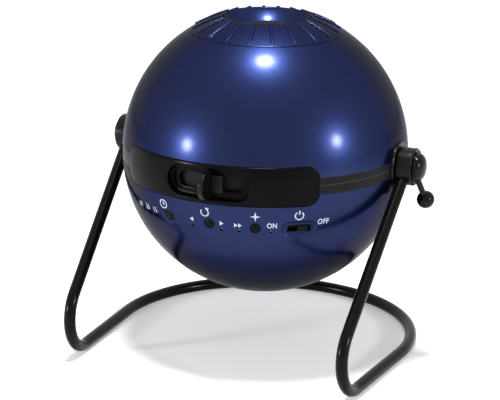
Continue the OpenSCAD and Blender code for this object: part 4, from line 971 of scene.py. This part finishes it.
# ---------- floor and light ----------

def studio():
    """A pale floor, a white surround and three disc lamps whose mirror images on the ball stand
    where the photograph shows its highlights: the lamp is along v - 2 (v.n) n, v the line of
    sight and n the ball's direction at that pixel."""
    me = bpy.data.meshes.new("floor")
    s = 6.0
    me.from_pydata([(-s, -s, 0), (s, -s, 0), (s, s, 0), (-s, s, 0)], [], [(0, 1, 2, 3)])
    floor = bpy.data.objects.new("floor", me)
    floor.location.z = -0.0002
    bpy.context.scene.collection.objects.link(floor)
    white = material("floor_white", (0.9, 0.9, 0.9), 0.7, spec=0.1, vary=0.01, vary_scale=2, bump=0.01,
                     bump_scale=40)
    me.materials.append(white)
    world = bpy.data.worlds.new("world")
    bpy.context.scene.world = world
    world.use_nodes = True
    t = world.node_tree
    bg = t.nodes["Background"]
    bg.inputs["Color"].default_value = (1, 1, 1, 1)

    def seen_level(tree, unseen, seen):
        """One level for camera, glossy and transmission rays, and another for all others."""
        path = tree.nodes.new("ShaderNodeLightPath")
        ray = path.outputs["Is Camera Ray"]
        for other in ("Is Glossy Ray", "Is Transmission Ray"):
            either = tree.nodes.new("ShaderNodeMath")
            either.operation = "MAXIMUM"
            tree.links.new(ray, either.inputs[0])
            tree.links.new(path.outputs[other], either.inputs[1])
            ray = either.outputs[0]
        level = tree.nodes.new("ShaderNodeMapRange")
        level.inputs["To Min"].default_value = unseen
        level.inputs["To Max"].default_value = seen
        tree.links.new(ray, level.inputs["Value"])
        return level.outputs[0]
    t.links.new(seen_level(t, 0.35, 1.0), bg.inputs["Strength"])
    shader = next(n for n in white.node_tree.nodes if n.type == "BSDF_PRINCIPLED")
    shader.inputs["Emission Color"].default_value = (1, 1, 1, 1)
    white.node_tree.links.new(seen_level(white.node_tree, 0.0, 0.3), shader.inputs["Emission Strength"])

    def lamp(name, direction, dist, size, power, target=(0, 0, PZ)):
        data = bpy.data.lights.new(name, "AREA")
        data.shape, data.size, data.energy = "DISK", size, power
        o = bpy.data.objects.new(name, data)
        d = Vector(direction).normalized()
        o.location = Vector(target) / 1000 + d * dist
        o.rotation_mode = "QUATERNION"
        o.rotation_quaternion = d.to_track_quat("Z", "Y")
        bpy.context.scene.collection.objects.link(o)

    def mirror_dir(px, py):
        """Direction that the ball shows at a pixel of the photograph's frame."""
        v = -BACK + (px - CENTRE[0]) / CAM["f"] * CAM_R + (CENTRE[1] - py) / CAM["f"] * CAM_U
        v /= np.linalg.norm(v)
        o = CAM_AT - C0
        b = o @ v
        hit = o + (-b - math.sqrt(b * b - (o @ o - R0 * R0))) * v
        n = hit / R0
        return v - 2 * (v @ n) * n
    for name, (pixel, size, power) in LAMPS.items():
        lamp(name, mirror_dir(*pixel), LAMP_DIST, size, power)


upper_shell()
lower_shell()
for i, (x, y) in enumerate(POSTS):
    well(i, x, y)
plug_recess()
lens_ring()
bezel()
band("band_upper", 1)
band("band_lower", -1)
bosses()
stand()
clamp()
front_panel()
focus_knob()
buttons()
marks()
for s in NODE["power_slider"].material_slots:
    s.material = SLIDER
studio()

bpy.context.scene.view_settings.view_transform = "Standard"
